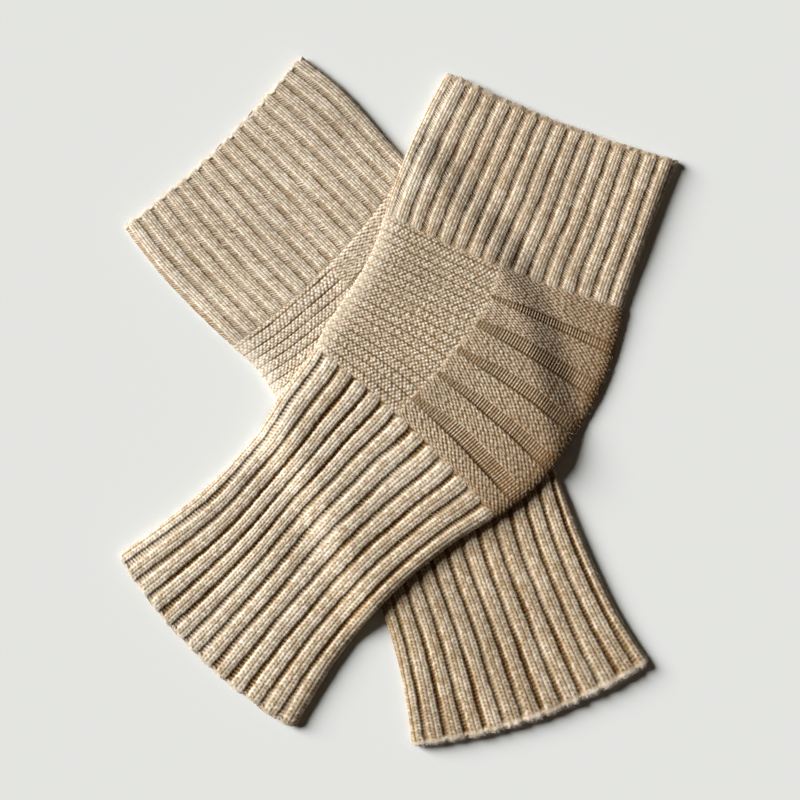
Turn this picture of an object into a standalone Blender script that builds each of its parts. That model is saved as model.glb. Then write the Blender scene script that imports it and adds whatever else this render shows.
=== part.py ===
"""Pair of knitted knee warmers, laid flat and crossed, one warmer over the other.

Each warmer is a seamless knitted tube lying flat: a ribbed thigh cuff, a garter-stitch panel at the back
of the knee, a kneecap of purl welts with recessed knit bands, and a bold ribbed calf down to the hem. Each
piece is a real wall of cloth round a flat hollow. Its outer points carry the ribs, ridges and welts, its
inner face is plain, and so is its underside, which rests flat.

Frame: +Z up, z = 0 is the surface that the pair lies on, and the origin is the middle of its footprint to
within 2 mm. Lengths are in millimetres until the meshes are made, which are in metres.
"""

import math
from collections import namedtuple

import bmesh
import bpy
import numpy as np

MM = 0.001

# ---- cloth ---------------------------------------------------------------------------------------------
WALL = 1.8  # cloth under the ribs, measured in a gutter
HOLLOW = 1.0  # flat space left inside the tube
TUBE_HEIGHT = 2.0 * WALL + HOLLOW  # a laid-out warmer without its ribs
PANEL_GAP = 0.3  # between neighbouring pieces
ROLL_GARTER_SIDE = 9.0  # how far in from each fold the upper face rounds down
ROLL_KNEECAP_SIDE = 7.0
ROLL_UNDERNEATH = 3.0
ROLLS = (ROLL_GARTER_SIDE, ROLL_KNEECAP_SIDE, ROLL_UNDERNEATH)
FOLD_RIB = 0.9  # the rib on a fold stands this far out, so the plain tube is that much narrower
HEM_BLEND = 9.0  # the lower layer eases out past the upper one over this length

# ---- relief of the stitch patterns -------------------------------------------------------------------
THIGH_RIB_DEPTH = 0.9
CALF_RIB_DEPTH = 1.4
GARTER_DEPTH = 0.7
WELT_DEPTH = 1.1
KNEE_GROUND = 0.45  # where the ribs meet the knee, as a share of a relief
RIB_END = 4.0  # ribs come up to their full height over this length
FADE_HEIGHT = 0.5 * TUBE_HEIGHT  # the relief fades out below this height, down to the plain underside

# ---- how the upper warmer climbs over the lower one --------------------------------------------------
CLIMB = TUBE_HEIGHT + CALF_RIB_DEPTH + PANEL_GAP
CLIMB_RAMP = 26.0  # the cloth comes down to the surface over this distance

# ---- where the short rows end: share of the width from the garter-side fold --------------------------
SHORT_ROWS_AT_THIGH = 0.50
SHORT_ROWS_AT_CALF = 0.42

# One row for each measured course of a warmer: its two fold points, how far its middle bows towards the
# calf, and the garter ridges knitted up to it. Each band is a recessed band of the kneecap.
Section = namedtuple("Section", "name left_x left_y right_x right_y bow ridges")

OVER = (
    Section("thigh_hem", 26.6, 198.4, 166.4, 144.5, 4.2, 0.0),
    Section("thigh_upper", 15.8, 178.1, 158.1, 125.0, 5.5, 0.0),
    Section("thigh_lower", 2.8, 150.0, 145.1, 90.5, 5.3, 0.0),
    Section("thigh_end", -10.1, 113.9, 133.8, 56.5, 4.5, 0.0),
    Section("band_1", -15.0, 97.8, 127.7, 31.2, 0.6, 3.0),
    Section("band_2", -22.2, 82.6, 119.2, 7.1, -3.6, 6.0),
    Section("band_3", -30.9, 68.4, 106.1, -15.9, -4.8, 9.0),
    Section("band_4", -39.5, 55.4, 89.1, -40.3, -6.6, 12.0),
    Section("band_5", -47.6, 42.5, 68.4, -60.5, -6.8, 15.0),
    Section("knee_end", -51.6, 34.2, 56.7, -68.4, -4.5, 16.7),
    Section("calf_upper", -70.7, 8.1, 34.2, -81.3, -4.4, 16.7),
    Section("calf_narrow", -83.4, -13.3, 18.1, -93.6, -3.5, 16.7),
    Section("calf_middle", -99.5, -33.2, -1.7, -111.0, 0.0, 16.7),
    Section("calf_lower", -127.8, -59.5, -30.6, -143.3, 4.8, 16.7),
    Section("calf_flare", -151.3, -77.8, -49.4, -171.1, 7.1, 16.7),
    Section("calf_hem", -169.5, -90.6, -63.9, -195.1, 9.0, 16.7),
)
UNDER = (
    Section("thigh_hem", -166.8, 105.0, -59.1, 209.2, 5.5, 0.0),
    Section("thigh_upper", -147.8, 80.2, -35.8, 190.4, 5.4, 0.0),
    Section("thigh_lower", -125.2, 56.2, -15.5, 167.8, 6.6, 0.0),
    Section("thigh_end", -101.7, 33.8, 4.6, 143.8, 7.8, 0.0),
    Section("band_1", -89.0, 22.6, 23.0, 122.7, 5.4, 3.0),
    Section("band_2", -79.0, 8.7, 40.0, 103.1, 1.8, 6.0),
    Section("band_3", -70.2, -6.1, 54.5, 81.7, -1.8, 9.0),
    Section("band_4", -63.0, -19.8, 67.3, 54.8, -4.2, 12.0),
    Section("band_5", -56.0, -33.5, 75.8, 27.3, -6.0, 15.0),
    Section("knee_end", -52.3, -41.3, 78.9, 12.9, -6.0, 16.7),
    Section("calf_upper", -36.3, -71.1, 83.6, -11.7, -4.8, 16.7),
    Section("calf_middle", -13.8, -119.5, 100.2, -61.6, 0.0, 16.7),
    Section("calf_lower", -1.9, -155.8, 117.6, -101.8, 3.6, 16.7),
    Section("calf_flare", 3.1, -180.9, 130.7, -127.6, 5.2, 16.7),
    Section("calf_hem", 6.5, -204.9, 148.4, -155.0, 8.4, 16.7),
)

# A ribbed tube: ribs counted across the upper face, how much closer they lie at the garter side, the place
# of the first crest, how far the ribs drift sideways, and how far the lower layer runs past the upper one at
# the hem.
Ribbing = namedtuple("Ribbing", "depth points rows across closer first drift lower_shows")

# How far ribs lie from their even places, in ribs: one row for each distance along the warmer, one number in
# it for each share across.
Drift = namedtuple("Drift", "places shares ribs")
OVER_THIGH_DRIFT = Drift(
    (0.0, 25.0, 50.0, 75.0, 97.0),
    (0.0, 0.25, 0.5, 0.75, 1.0),
    (
        (0.08, 0.07, -0.12, -0.32, -0.28),
        (0.08, 0.17, 0.0, -0.12, -0.16),
        (0.12, 0.18, 0.1, -0.02, -0.1),
        (0.06, 0.06, -0.04, -0.08, -0.08),
        (0.06, -0.02, -0.22, -0.14, -0.14),
    ),
)
OVER_CALF_DRIFT = Drift(
    (205.0, 238.0, 279.0, 320.0, 350.0, 398.0),
    (0.0, 0.2, 0.45, 0.7, 1.0),
    (
        (-0.05, -0.1, -0.2, -0.15, -0.2),
        (0.1, 0.08, -0.12, 0.05, -0.06),
        (-0.06, -0.1, -0.35, -0.16, -0.1),
        (0.08, 0.15, -0.1, -0.06, -0.1),
        (0.0, 0.13, 0.02, -0.07, -0.14),
        (0.0, 0.1, -0.02, -0.08, -0.05),
    ),
)
UNDER_THIGH_DRIFT = Drift(
    (0.0, 30.0, 60.0, 97.0),
    (0.0, 0.25, 0.5, 0.75, 1.0),
    (
        (-0.18, -0.08, -0.24, -0.45, -0.45),
        (-0.18, -0.1, -0.28, -0.42, -0.4),
        (-0.1, -0.14, -0.2, -0.26, -0.32),
        (-0.24, -0.12, -0.12, -0.04, -0.1),
    ),
)
UNDER_CALF_DRIFT = Drift(
    (200.0, 283.0, 304.0, 346.0, 400.0),
    (0.0, 0.25, 0.5, 0.75, 1.0),
    (
        (0.1, 0.05, 0.1, 0.3, 0.2),
        (0.1, 0.03, 0.15, 0.38, 0.2),
        (0.08, 0.0, 0.0, 0.18, 0.1),
        (-0.07, -0.06, -0.03, 0.1, 0.04),
        (-0.06, -0.05, -0.12, 0.0, 0.05),
    ),
)
DRIFT_FADE = 0.2  # past a fold the drift dies out over this share of the width

# Where the points of a rib lie, as a share of a rib from its crest, and how high each stands.
RibPoint = namedtuple("RibPoint", "offset height")
THIGH_POINTS = (RibPoint(-0.36, 0.0), RibPoint(-0.2, 1.0), RibPoint(0.2, 1.0), RibPoint(0.36, 0.0))
CALF_POINTS = (RibPoint(-0.5, 0.0), RibPoint(-0.31, 0.92), RibPoint(0.0, 1.0), RibPoint(0.31, 0.92))
THIGH_ROWS = 8
CALF_ROWS = 13

RIBBINGS = {
    "over_thigh_cuff": Ribbing(
        THIGH_RIB_DEPTH,
        THIGH_POINTS,
        THIGH_ROWS,
        across=15.45,
        closer=0.0,
        first=-0.03,
        drift=OVER_THIGH_DRIFT,
        lower_shows=1.6,
    ),
    "over_calf_rib": Ribbing(
        CALF_RIB_DEPTH,
        CALF_POINTS,
        CALF_ROWS,
        across=12.45,
        closer=0.95,
        first=-0.18,
        drift=OVER_CALF_DRIFT,
        lower_shows=0.8,
    ),
    "under_thigh_cuff": Ribbing(
        THIGH_RIB_DEPTH,
        THIGH_POINTS,
        THIGH_ROWS,
        across=15.95,
        closer=0.0,
        first=0.19,
        drift=UNDER_THIGH_DRIFT,
        lower_shows=1.6,
    ),
    "under_calf_rib": Ribbing(
        CALF_RIB_DEPTH,
        CALF_POINTS,
        CALF_ROWS,
        across=12.4,
        closer=0.0,
        first=-0.27,
        drift=UNDER_CALF_DRIFT,
        lower_shows=1.6,
    ),
}

# Points of the knee's relief, in garter ridges from the thigh end of the knee, with their heights.
RidgePoint = namedtuple("RidgePoint", "ridge height")
GARTER_VALLEYS = (
    *(0.4, 1.6, 2.64, 3.68, 4.71, 5.75, 6.65, 7.55),
    *(8.45, 9.38, 10.3, 11.25, 12.2, 13.15, 14.1, 15.05),
)
GARTER_SHOULDER = 0.32  # a ridge comes up to its full height this far from a valley
KnitBand = namedtuple("KnitBand", "upper lower")
BANDS = (
    KnitBand(2.55, 3.4),
    KnitBand(5.5, 6.75),
    KnitBand(8.5, 9.5),
    KnitBand(11.25, 12.25),
    KnitBand(14.05, 15.2),
)
WELT_SHOULDER = 0.32
WELT_SHOULDER_HEIGHT = 0.8
KNEE_MARGIN = 0.3  # no point of a pattern lies closer than this, in ridges, to the ends of the knee

Finish = namedtuple("Finish", "name colour roughness")
CLOTH = Finish("oatmeal_knit", (0.56, 0.45, 0.32, 1.0), 0.92)

# ---- resolution of the solids ------------------------------------------------------------------------
INNER_ROW_STEP = 2  # a plain inner row for every second outer row of a ribbed tube
INNER_KNEE_ROWS = 9
ARC_STEPS = 10
FOLD_SHARE = 0.1  # the part of the width in which plain columns lie close together, round a fold
FOLD_COLUMNS = 4
FLAT_COLUMNS = 5
COLUMN_SPACE = 0.02  # plain columns keep this far from the edges of their piece
OUTLINE_STEPS = 60
HEM_STEPS = 12


def smooth(share):
    """A soft step from 0 to 1 while the share goes from 0 to 1."""
    share = np.clip(share, 0.0, 1.0)
    return share * share * (3.0 - 2.0 * share)


def spline_bends(knots, values):
    """Second derivatives of the natural cubic spline through the values at the knots."""
    steps = np.diff(knots)
    matrix = np.eye(len(knots))
    right = np.zeros(values.shape)
    for i in range(1, len(knots) - 1):
        before, after = steps[i - 1], steps[i]
        matrix[i, i - 1 : i + 2] = before, 2.0 * (before + after), after
        right[i] = 6.0 * ((values[i + 1] - values[i]) / after - (values[i] - values[i - 1]) / before)
    return np.linalg.solve(matrix, right)


def spline(knots, values, bends, at):
    """The cubic spline at the given places, run on straight past its ends."""
    i = np.clip(np.searchsorted(knots, at) - 1, 0, len(knots) - 2)
    step = (knots[i + 1] - knots[i])[..., None]
    first = (knots[i + 1] - at)[..., None] / step
    second = 1.0 - first
    bend = (first**3 - first) * bends[i] + (second**3 - second) * bends[i + 1]
    inside = ((at >= knots[0]) & (at <= knots[-1]))[..., None]
    return first * values[i] + second * values[i + 1] + np.where(inside, bend * step**2 / 6.0, 0.0)


def distance_outside(points, ring):
    """Distance of each point from a closed ring, 0 inside it."""
    nearest = np.full(len(points), np.inf)
    inside = np.zeros(len(points), dtype=bool)
    for start, end in zip(ring, np.roll(ring, -1, axis=0)):
        edge = end - start
        share = np.clip(((points - start) @ edge) / (edge @ edge), 0.0, 1.0)
        away = np.linalg.norm(points - start - share[:, None] * edge, axis=1)
        nearest = np.minimum(nearest, away)
        if start[1] != end[1]:
            crosses = (start[1] > points[:, 1]) != (end[1] > points[:, 1])
            meets = start[0] + (points[:, 1] - start[1]) * edge[0] / edge[1]
            inside ^= crosses & (points[:, 0] < meets)
    return np.where(inside, 0.0, nearest)


class Warmer:
    """The laid-out form of one warmer, which places any point along, across and above it."""

    def __init__(self, name, sections, lies_over=None):
        self.name = name
        self.names = [row.name for row in sections]
        self.ridges = np.array([row.ridges for row in sections])
        self.values = np.array(
            [(row.left_x, row.left_y, row.right_x, row.right_y, row.bow) for row in sections]
        )
        middle = (self.values[:, 0:2] + self.values[:, 2:4]) / 2.0
        steps = np.linalg.norm(np.diff(middle, axis=0), axis=1)
        self.along = np.concatenate([[0.0], np.cumsum(steps)])
        self.bends = spline_bends(self.along, self.values)
        self.lies_over = None if lies_over is None else lies_over.outline()

    def place_of(self, section_name):
        """Distance from the thigh hem to a named section."""
        return self.along[self.names.index(section_name)]

    def place_of_ridge(self, ridge):
        """Distance from the thigh hem to a garter ridge."""
        knee = slice(self.names.index("thigh_end"), self.names.index("knee_end") + 1)
        return np.interp(ridge, self.ridges[knee], self.along[knee])

    def course(self, along):
        """Middle, direction across, direction towards the calf, half width and bow of each course."""
        row = spline(self.along, self.values, self.bends, along)
        left, right, bow = row[..., 0:2], row[..., 2:4], row[..., 4]
        width = np.linalg.norm(right - left, axis=-1)
        across = (right - left) / width[..., None]
        forward = np.stack([across[..., 1], -across[..., 0]], axis=-1)
        return (left + right) / 2.0, across, forward, width / 2.0, bow

    def points(self, along, offset, height):
        """World points at distances along, offsets from the middle line and heights."""
        middle, across, forward, half, bow = self.course(along)
        share = np.clip(offset / half, -1.0, 1.0)
        bowed = bow * (1.0 - share**2)
        flat = middle + across * offset[..., None] + forward * bowed[..., None]
        return np.concatenate([flat, (height + self.climb(flat))[..., None]], axis=-1)

    def climb(self, flat):
        """How far the cloth is lifted by the warmer that it lies over."""
        if self.lies_over is None:
            return np.zeros(flat.shape[:-1])
        outside = distance_outside(flat.reshape(-1, 2), self.lies_over).reshape(flat.shape[:-1])
        return CLIMB * (1.0 - smooth(outside / CLIMB_RAMP))

    def outline(self):
        """The warmer's outline seen from above, as one closed ring."""
        along = np.linspace(0.0, self.along[-1], OUTLINE_STEPS)
        middle, across, _, half, _ = self.course(along)
        left = middle - across * half[:, None]
        right = middle + across * half[:, None]
        return np.concatenate([left, self.hem_line(along[-1]), right[::-1], self.hem_line(0.0)[::-1]])

    def hem_line(self, end):
        """Points from left to right along a hem, without its two ends."""
        share = np.linspace(-1.0, 1.0, HEM_STEPS)[1:-1]
        middle, across, forward, half, bow = self.course(np.full(len(share), end))
        bowed = bow * (1.0 - share**2)
        return middle + across * (half * share)[:, None] + forward * bowed[:, None]


def quarter(half, roll, side, base, rise):
    """A quarter ellipse from a fold, rounding in on to the upper face (rise > 0) or the lower one."""
    turn = np.linspace(0.0, math.pi / 2.0, ARC_STEPS)
    offset = side * (half - roll * (1.0 - np.cos(turn)))
    return np.stack([offset, base + abs(rise) + rise * np.sin(turn)], axis=1)


def profile(half, height, base, rolls, shares):
    """One flattened section of the tube, read at shares round it.

    A share of 0 is the garter-side fold, 0 to 1 the upper face, 1 the kneecap-side fold, and -1 to 0 or
    1 to 2 the lower face. Returns the offsets from the middle line, the heights and the outward normals.
    """
    roll_left, roll_right, roll_low = rolls
    rise = height / 2.0
    top = [quarter(half, roll_left, -1, base, rise), quarter(half, roll_right, 1, base, rise)[::-1]]
    low = [quarter(half, roll_low, 1, base, -rise)[1:], quarter(half, roll_low, -1, base, -rise)[::-1]]
    ring = np.concatenate(top + low)
    length = np.concatenate([[0.0], np.cumsum(np.linalg.norm(np.diff(ring, axis=0), axis=1))])
    fold = length[2 * ARC_STEPS - 1]
    share = np.where(length <= fold, length / fold, 1.0 + (length - fold) / (length[-1] - fold))
    tangent = np.gradient(ring, length, axis=0)
    normal = np.stack([-tangent[:, 1], tangent[:, 0]], axis=1)
    normal /= np.linalg.norm(normal, axis=1)[:, None]
    wrapped = np.mod(shares, 2.0)
    offset, height, out_x, out_z = (np.interp(wrapped, share, row) for row in (*ring.T, *normal.T))
    return offset, height, np.stack([out_x, out_z], axis=1)


def outer_face(warmer, places, columns, relief, hem_shift=0.0):
    """World points of a piece's outer face, with its relief raised along the tube's outward normals."""
    half = warmer.course(places)[3] - FOLD_RIB
    offset = np.empty(columns.shape)
    height = np.empty(columns.shape)
    for i, shares in enumerate(columns):
        offset[i], height[i], normal = profile(half[i], TUBE_HEIGHT, 0.0, ROLLS, shares)
        raised = relief[i] * smooth(height[i] / FADE_HEIGHT)
        offset[i] += normal[:, 0] * raised
        height[i] += normal[:, 1] * raised
    return place_face(warmer, places, offset, height, hem_shift)


def inner_face(warmer, places, columns, hem_shift=0.0):
    """World points of a piece's plain inner face."""
    half = warmer.course(places)[3] - FOLD_RIB - WALL
    rolls = [roll - WALL for roll in ROLLS]
    offset = np.empty(columns.shape)
    height = np.empty(columns.shape)
    for i, shares in enumerate(columns):
        offset[i], height[i], _ = profile(half[i], HOLLOW, WALL, rolls, shares)
    return place_face(warmer, places, offset, height, hem_shift)


def place_face(warmer, places, offset, height, hem_shift):
    """World points in metres of a face, whose lower layer is shifted along by the hem shift."""
    along = np.repeat(places[:, None], offset.shape[1], axis=1)
    along += np.reshape(hem_shift, (-1, 1)) * (1.0 - smooth(height / WALL))
    return warmer.points(along, offset, height) * MM


def zip_faces(first, first_keys, second, second_keys):
    """Triangles between two runs of points with matching ends and rising keys."""
    faces = []
    i = j = 0
    while i < len(first) - 1 or j < len(second) - 1:
        first_is_next = i < len(first) - 1 and (
            j == len(second) - 1 or first_keys[i + 1] <= second_keys[j + 1]
        )
        if first_is_next:
            faces.append((first[i], first[i + 1], second[j]))
            i += 1
        else:
            faces.append((first[i], second[j + 1], second[j]))
            j += 1
    return faces


def grid_faces(ids, closed):
    """Four-sided faces over a grid of point numbers, joined round if it is a closed tube."""
    ring = np.hstack([ids, ids[:, :1]]) if closed else ids
    corners = [ring[:-1, :-1], ring[1:, :-1], ring[1:, 1:], ring[:-1, 1:]]
    return np.stack(corners, axis=-1).reshape(-1, 4).tolist()


def wall_object(name, outer, inner, row_keys, column_keys, closed):
    """An object whose mesh is one closed wall between an outer and an inner face.

    The keys are the places of each face's rows and the shares of its columns, outer then inner. They pair
    up the points along the wall's edges.
    """
    outer_ids = np.arange(outer.shape[0] * outer.shape[1]).reshape(outer.shape[:2])
    inner_ids = outer_ids.size + np.arange(inner.shape[0] * inner.shape[1]).reshape(inner.shape[:2])
    faces = grid_faces(outer_ids, closed) + grid_faces(inner_ids, closed)
    outer_columns, inner_columns = column_keys
    if closed:
        outer_columns, inner_columns = (np.append(keys, keys[0] + 2.0) for keys in column_keys)
    for end in (0, -1):
        outer_ring, inner_ring = outer_ids[end], inner_ids[end]
        if closed:
            outer_ring, inner_ring = (np.append(ring, ring[0]) for ring in (outer_ring, inner_ring))
        else:
            faces += zip_faces(outer_ids[:, end], row_keys[0], inner_ids[:, end], row_keys[1])
        faces += zip_faces(outer_ring, outer_columns, inner_ring, inner_columns)
    points = np.concatenate([outer.reshape(-1, 3), inner.reshape(-1, 3)])
    mesh = bpy.data.meshes.new(name)
    mesh.from_pydata(points.tolist(), [], [[int(number) for number in face] for face in faces])
    body = bmesh.new()
    body.from_mesh(mesh)
    bmesh.ops.recalc_face_normals(body, faces=body.faces)
    if body.calc_volume(signed=True) < 0.0:
        bmesh.ops.reverse_faces(body, faces=body.faces)
    bmesh.ops.triangulate(body, faces=body.faces)
    body.to_mesh(mesh)
    body.free()
    return bpy.data.objects.new(name, mesh)


def plain_shares(start, end):
    """Shares round a plain face from one place to another, closer together at the folds."""
    fold = np.linspace(-FOLD_SHARE, FOLD_SHARE, 2 * FOLD_COLUMNS + 1)
    flat = np.linspace(FOLD_SHARE, 1.0 - FOLD_SHARE, FLAT_COLUMNS + 1)[1:-1]
    near = np.concatenate([np.concatenate([fold, flat]) + side for side in (-1.0, 0.0, 1.0, 2.0)])
    kept = near[(near > start + COLUMN_SPACE) & (near < end - COLUMN_SPACE)]
    return np.concatenate([[start], kept, [end]])


def rib_count(ribbing, share):
    """Ribs counted from the first crest to a share of the upper face."""
    return ribbing.first + ribbing.across * share + ribbing.closer * share * (1.0 - share)


def rib_columns(ribbing):
    """Shares of the points of each rib over the upper face, with their heights."""
    fine = np.linspace(-COLUMN_SPACE, 1.0 + COLUMN_SPACE, 400)
    counts = rib_count(ribbing, fine)
    shares, heights = [], []
    for number in range(math.floor(counts[0]), math.ceil(counts[-1]) + 1):
        for point in ribbing.points:
            if counts[0] < number + point.offset < counts[-1]:
                shares.append(np.interp(number + point.offset, counts, fine))
                heights.append(point.height)
    return np.array(shares), np.array(heights)


def drifted(ribbing, places, shares):
    """Shares moved sideways with the ribs, for each row and column."""
    drift = ribbing.drift
    along, across, ribs = (np.array(row) for row in drift)
    rows = spline(along, ribs, spline_bends(along, ribs), places)
    upper = spline(across, rows.T, spline_bends(across, rows.T), np.clip(shares, 0.0, 1.0)).T
    past_right = np.clip(1.0 - (shares - 1.0) / DRIFT_FADE, 0.0, 1.0)
    past_left = np.clip(1.0 - (2.0 - shares) / DRIFT_FADE, 0.0, 1.0)
    lower = rows[:, -1:] * past_right + rows[:, :1] * past_left
    spread = ribbing.across + ribbing.closer * (1.0 - 2.0 * np.clip(shares, 0.0, 1.0))
    return shares + np.where(shares <= 1.0, upper, lower) / spread


def ribbed_tube(warmer, name, start, end):
    """A closed ribbed tube from the edge of the knee to the warmer's hem."""
    ribbing = RIBBINGS[name]
    hem_is_first = start == 0.0
    places = np.linspace(start, end, ribbing.rows)
    from_knee, from_hem = (end - places, places - start) if hem_is_first else (places - start, end - places)
    upper, heights = rib_columns(ribbing)
    lower = plain_shares(upper[-1], upper[0] + 2.0)[1:-1]
    columns = drifted(ribbing, places, np.concatenate([upper, lower]))
    raised = np.concatenate([heights, np.zeros(len(lower))])
    shown = KNEE_GROUND + (1.0 - KNEE_GROUND) * smooth(from_knee / RIB_END)
    relief = ribbing.depth * shown[:, None] * raised
    towards_hem = -1.0 if hem_is_first else 1.0
    hem_shift = towards_hem * ribbing.lower_shows * (1.0 - smooth(from_hem / HEM_BLEND))
    outer = outer_face(warmer, places, columns, relief, hem_shift)
    inner_places = np.append(places[:-1:INNER_ROW_STEP], places[-1])
    inner_shift = np.interp(inner_places, places, hem_shift)
    inner_shares = plain_shares(0.0, 2.0)[:-1]
    inner_columns = np.repeat(inner_shares[None, :], len(inner_places), axis=0)
    inner = inner_face(warmer, inner_places, inner_columns, inner_shift)
    column_keys = np.concatenate([upper, lower]), inner_shares
    return wall_object(name, outer, inner, (places, inner_places), column_keys, closed=True)


def garter_points():
    """The relief of the garter ridges: a valley at each measured place and a level top between."""
    points = []
    for valley in GARTER_VALLEYS:
        points.append(RidgePoint(valley - GARTER_SHOULDER, 1.0))
        points.append(RidgePoint(valley, 0.0))
        points.append(RidgePoint(valley + GARTER_SHOULDER, 1.0))
    return points


def welt_points():
    """The relief of the kneecap: rounded welts with flat recessed bands between them."""
    points = []
    for band, welt_end in zip(BANDS, [band.upper for band in BANDS[1:]] + [None]):
        if band is BANDS[0]:
            points.append(RidgePoint(band.upper / 2.0, 1.0))
        points.append(RidgePoint(band.upper - WELT_SHOULDER, WELT_SHOULDER_HEIGHT))
        points.append(RidgePoint(band.upper, 0.0))
        points.append(RidgePoint(band.lower, 0.0))
        points.append(RidgePoint(band.lower + WELT_SHOULDER, WELT_SHOULDER_HEIGHT))
        if welt_end is not None:
            points.append(RidgePoint((band.lower + welt_end) / 2.0, 1.0))
    return points


def knee_rows(warmer, depth, points):
    """Places along the knee at the points of its pattern, with their relief."""
    last = warmer.ridges[warmer.names.index("knee_end")]
    kept = [point for point in points if KNEE_MARGIN < point.ridge < last - KNEE_MARGIN]
    places = warmer.place_of_ridge(np.array([0.0] + [point.ridge for point in kept] + [last]))
    places[0] += PANEL_GAP / 2.0
    places[-1] -= PANEL_GAP / 2.0
    heights = [KNEE_GROUND] + [point.height for point in kept] + [KNEE_GROUND]
    return places, depth * np.array(heights)


def knee_columns(warmer, places, on_garter_side, shares):
    """Shares round the section of a knee piece, whose own shares run from -1 to 1 round its fold."""
    first, last = warmer.place_of("thigh_end"), warmer.place_of("knee_end")
    knitted = (places - first) / (last - first)
    line = SHORT_ROWS_AT_THIGH + (SHORT_ROWS_AT_CALF - SHORT_ROWS_AT_THIGH) * knitted
    gap = PANEL_GAP / 4.0 / warmer.course(places)[3]
    if on_garter_side:
        return shares * (line - gap)[:, None]
    return 1.0 + shares * (1.0 - line - gap)[:, None]


def knee_piece(warmer, side):
    """The half of the knee from the short-row line, round one fold and back underneath."""
    on_garter_side = side == "knee_panel"
    shares = plain_shares(-1.0, 1.0)
    if on_garter_side:
        places, raised = knee_rows(warmer, GARTER_DEPTH, garter_points())
    else:
        places, raised = knee_rows(warmer, WELT_DEPTH, welt_points())
    columns = knee_columns(warmer, places, on_garter_side, shares)
    relief = np.repeat(raised[:, None], len(shares), axis=1)
    outer = outer_face(warmer, places, columns, relief)
    inner_places = np.linspace(places[0], places[-1], INNER_KNEE_ROWS)
    inner_columns = knee_columns(warmer, inner_places, on_garter_side, shares)
    inner = inner_face(warmer, inner_places, inner_columns)
    name = f"{warmer.name}_{side}"
    return wall_object(name, outer, inner, (places, inner_places), (shares, shares), closed=False)


def build_warmer(warmer):
    """The four pieces of one warmer."""
    thigh_end = warmer.place_of("thigh_end") - PANEL_GAP / 2.0
    calf_start = warmer.place_of("knee_end") + PANEL_GAP / 2.0
    return [
        ribbed_tube(warmer, f"{warmer.name}_thigh_cuff", 0.0, thigh_end),
        knee_piece(warmer, "knee_panel"),
        knee_piece(warmer, "kneecap"),
        ribbed_tube(warmer, f"{warmer.name}_calf_rib", calf_start, warmer.along[-1]),
    ]


def cloth_material(name):
    """The knit's colour and roughness."""
    material = bpy.data.materials.new(name)
    material.use_nodes = True
    shader = material.node_tree.nodes["Principled BSDF"]
    shader.inputs["Base Color"].default_value = CLOTH.colour
    shader.inputs["Roughness"].default_value = CLOTH.roughness
    shader.inputs["Metallic"].default_value = 0.0
    return material


def main():
    """Clears the scene and builds the pair."""
    for leftover in list(bpy.data.objects):
        bpy.data.objects.remove(leftover)
    collection = bpy.data.collections.new("knee_warmers")
    bpy.context.scene.collection.children.link(collection)
    under = Warmer("under", UNDER)
    over = Warmer("over", OVER, lies_over=under)
    for piece in build_warmer(under) + build_warmer(over):
        piece.data.materials.append(cloth_material(f"{CLOTH.name}_{piece.name}"))
        collection.objects.link(piece)


main()
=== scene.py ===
"""Looks of the pair of knitted knee warmers, laid flat and crossed on a plain pale surface.

Each stretch of knit replaces its plain solid with a wall of the same form, whose outer points carry the
single stitches: knit columns on the ribs, purl dashes in the gutters between them, rows of purl bumps on
the garter back and on the kneecap's welts, and the legs of the recessed knit bands. Loose fibres stand on
the cloth.

Frame: +Z up, z = 0 is the surface that the pair lies on. Lengths are in millimetres until the meshes are
made, which are in metres. Along is the distance down a warmer from its thigh hem. A share is a place
round a warmer: 0 is the fold on the garter side, 0 to 1 the upper face, 1 the fold on the kneecap side and
1 to 2 the lower face. A tone says how open to the light a stitch is, and picks the yarn's colour, so light
and shade are painted into the colour: painted shade between, under and inside the stitches.
"""

import logging
import math
from dataclasses import dataclass, replace
from enum import Enum, IntEnum

import bmesh
import bpy
import numpy as np
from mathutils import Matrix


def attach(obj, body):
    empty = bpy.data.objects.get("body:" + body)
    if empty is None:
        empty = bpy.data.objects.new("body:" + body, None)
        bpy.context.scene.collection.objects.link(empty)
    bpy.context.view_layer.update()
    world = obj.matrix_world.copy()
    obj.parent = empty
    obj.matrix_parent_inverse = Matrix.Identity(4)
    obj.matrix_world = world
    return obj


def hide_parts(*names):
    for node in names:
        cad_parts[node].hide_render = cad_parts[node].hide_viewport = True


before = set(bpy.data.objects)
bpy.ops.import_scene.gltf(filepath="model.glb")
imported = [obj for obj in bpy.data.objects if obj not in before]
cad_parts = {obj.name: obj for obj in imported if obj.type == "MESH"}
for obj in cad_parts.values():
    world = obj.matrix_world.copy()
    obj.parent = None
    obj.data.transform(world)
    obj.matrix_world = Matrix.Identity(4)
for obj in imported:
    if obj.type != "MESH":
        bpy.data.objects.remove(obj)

LOG = logging.getLogger("knee_warmers")
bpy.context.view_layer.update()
MM = 0.001
Array = np.ndarray


# ---- measured form ---------------------------------------------------------------------------------------


@dataclass(frozen=True)
class Section:
    """One measured course of a warmer: its fold points, its bow towards the calf, the ridges up to it."""

    name: str
    left_x: float
    left_y: float
    right_x: float
    right_y: float
    bow: float
    ridges: float


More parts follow.
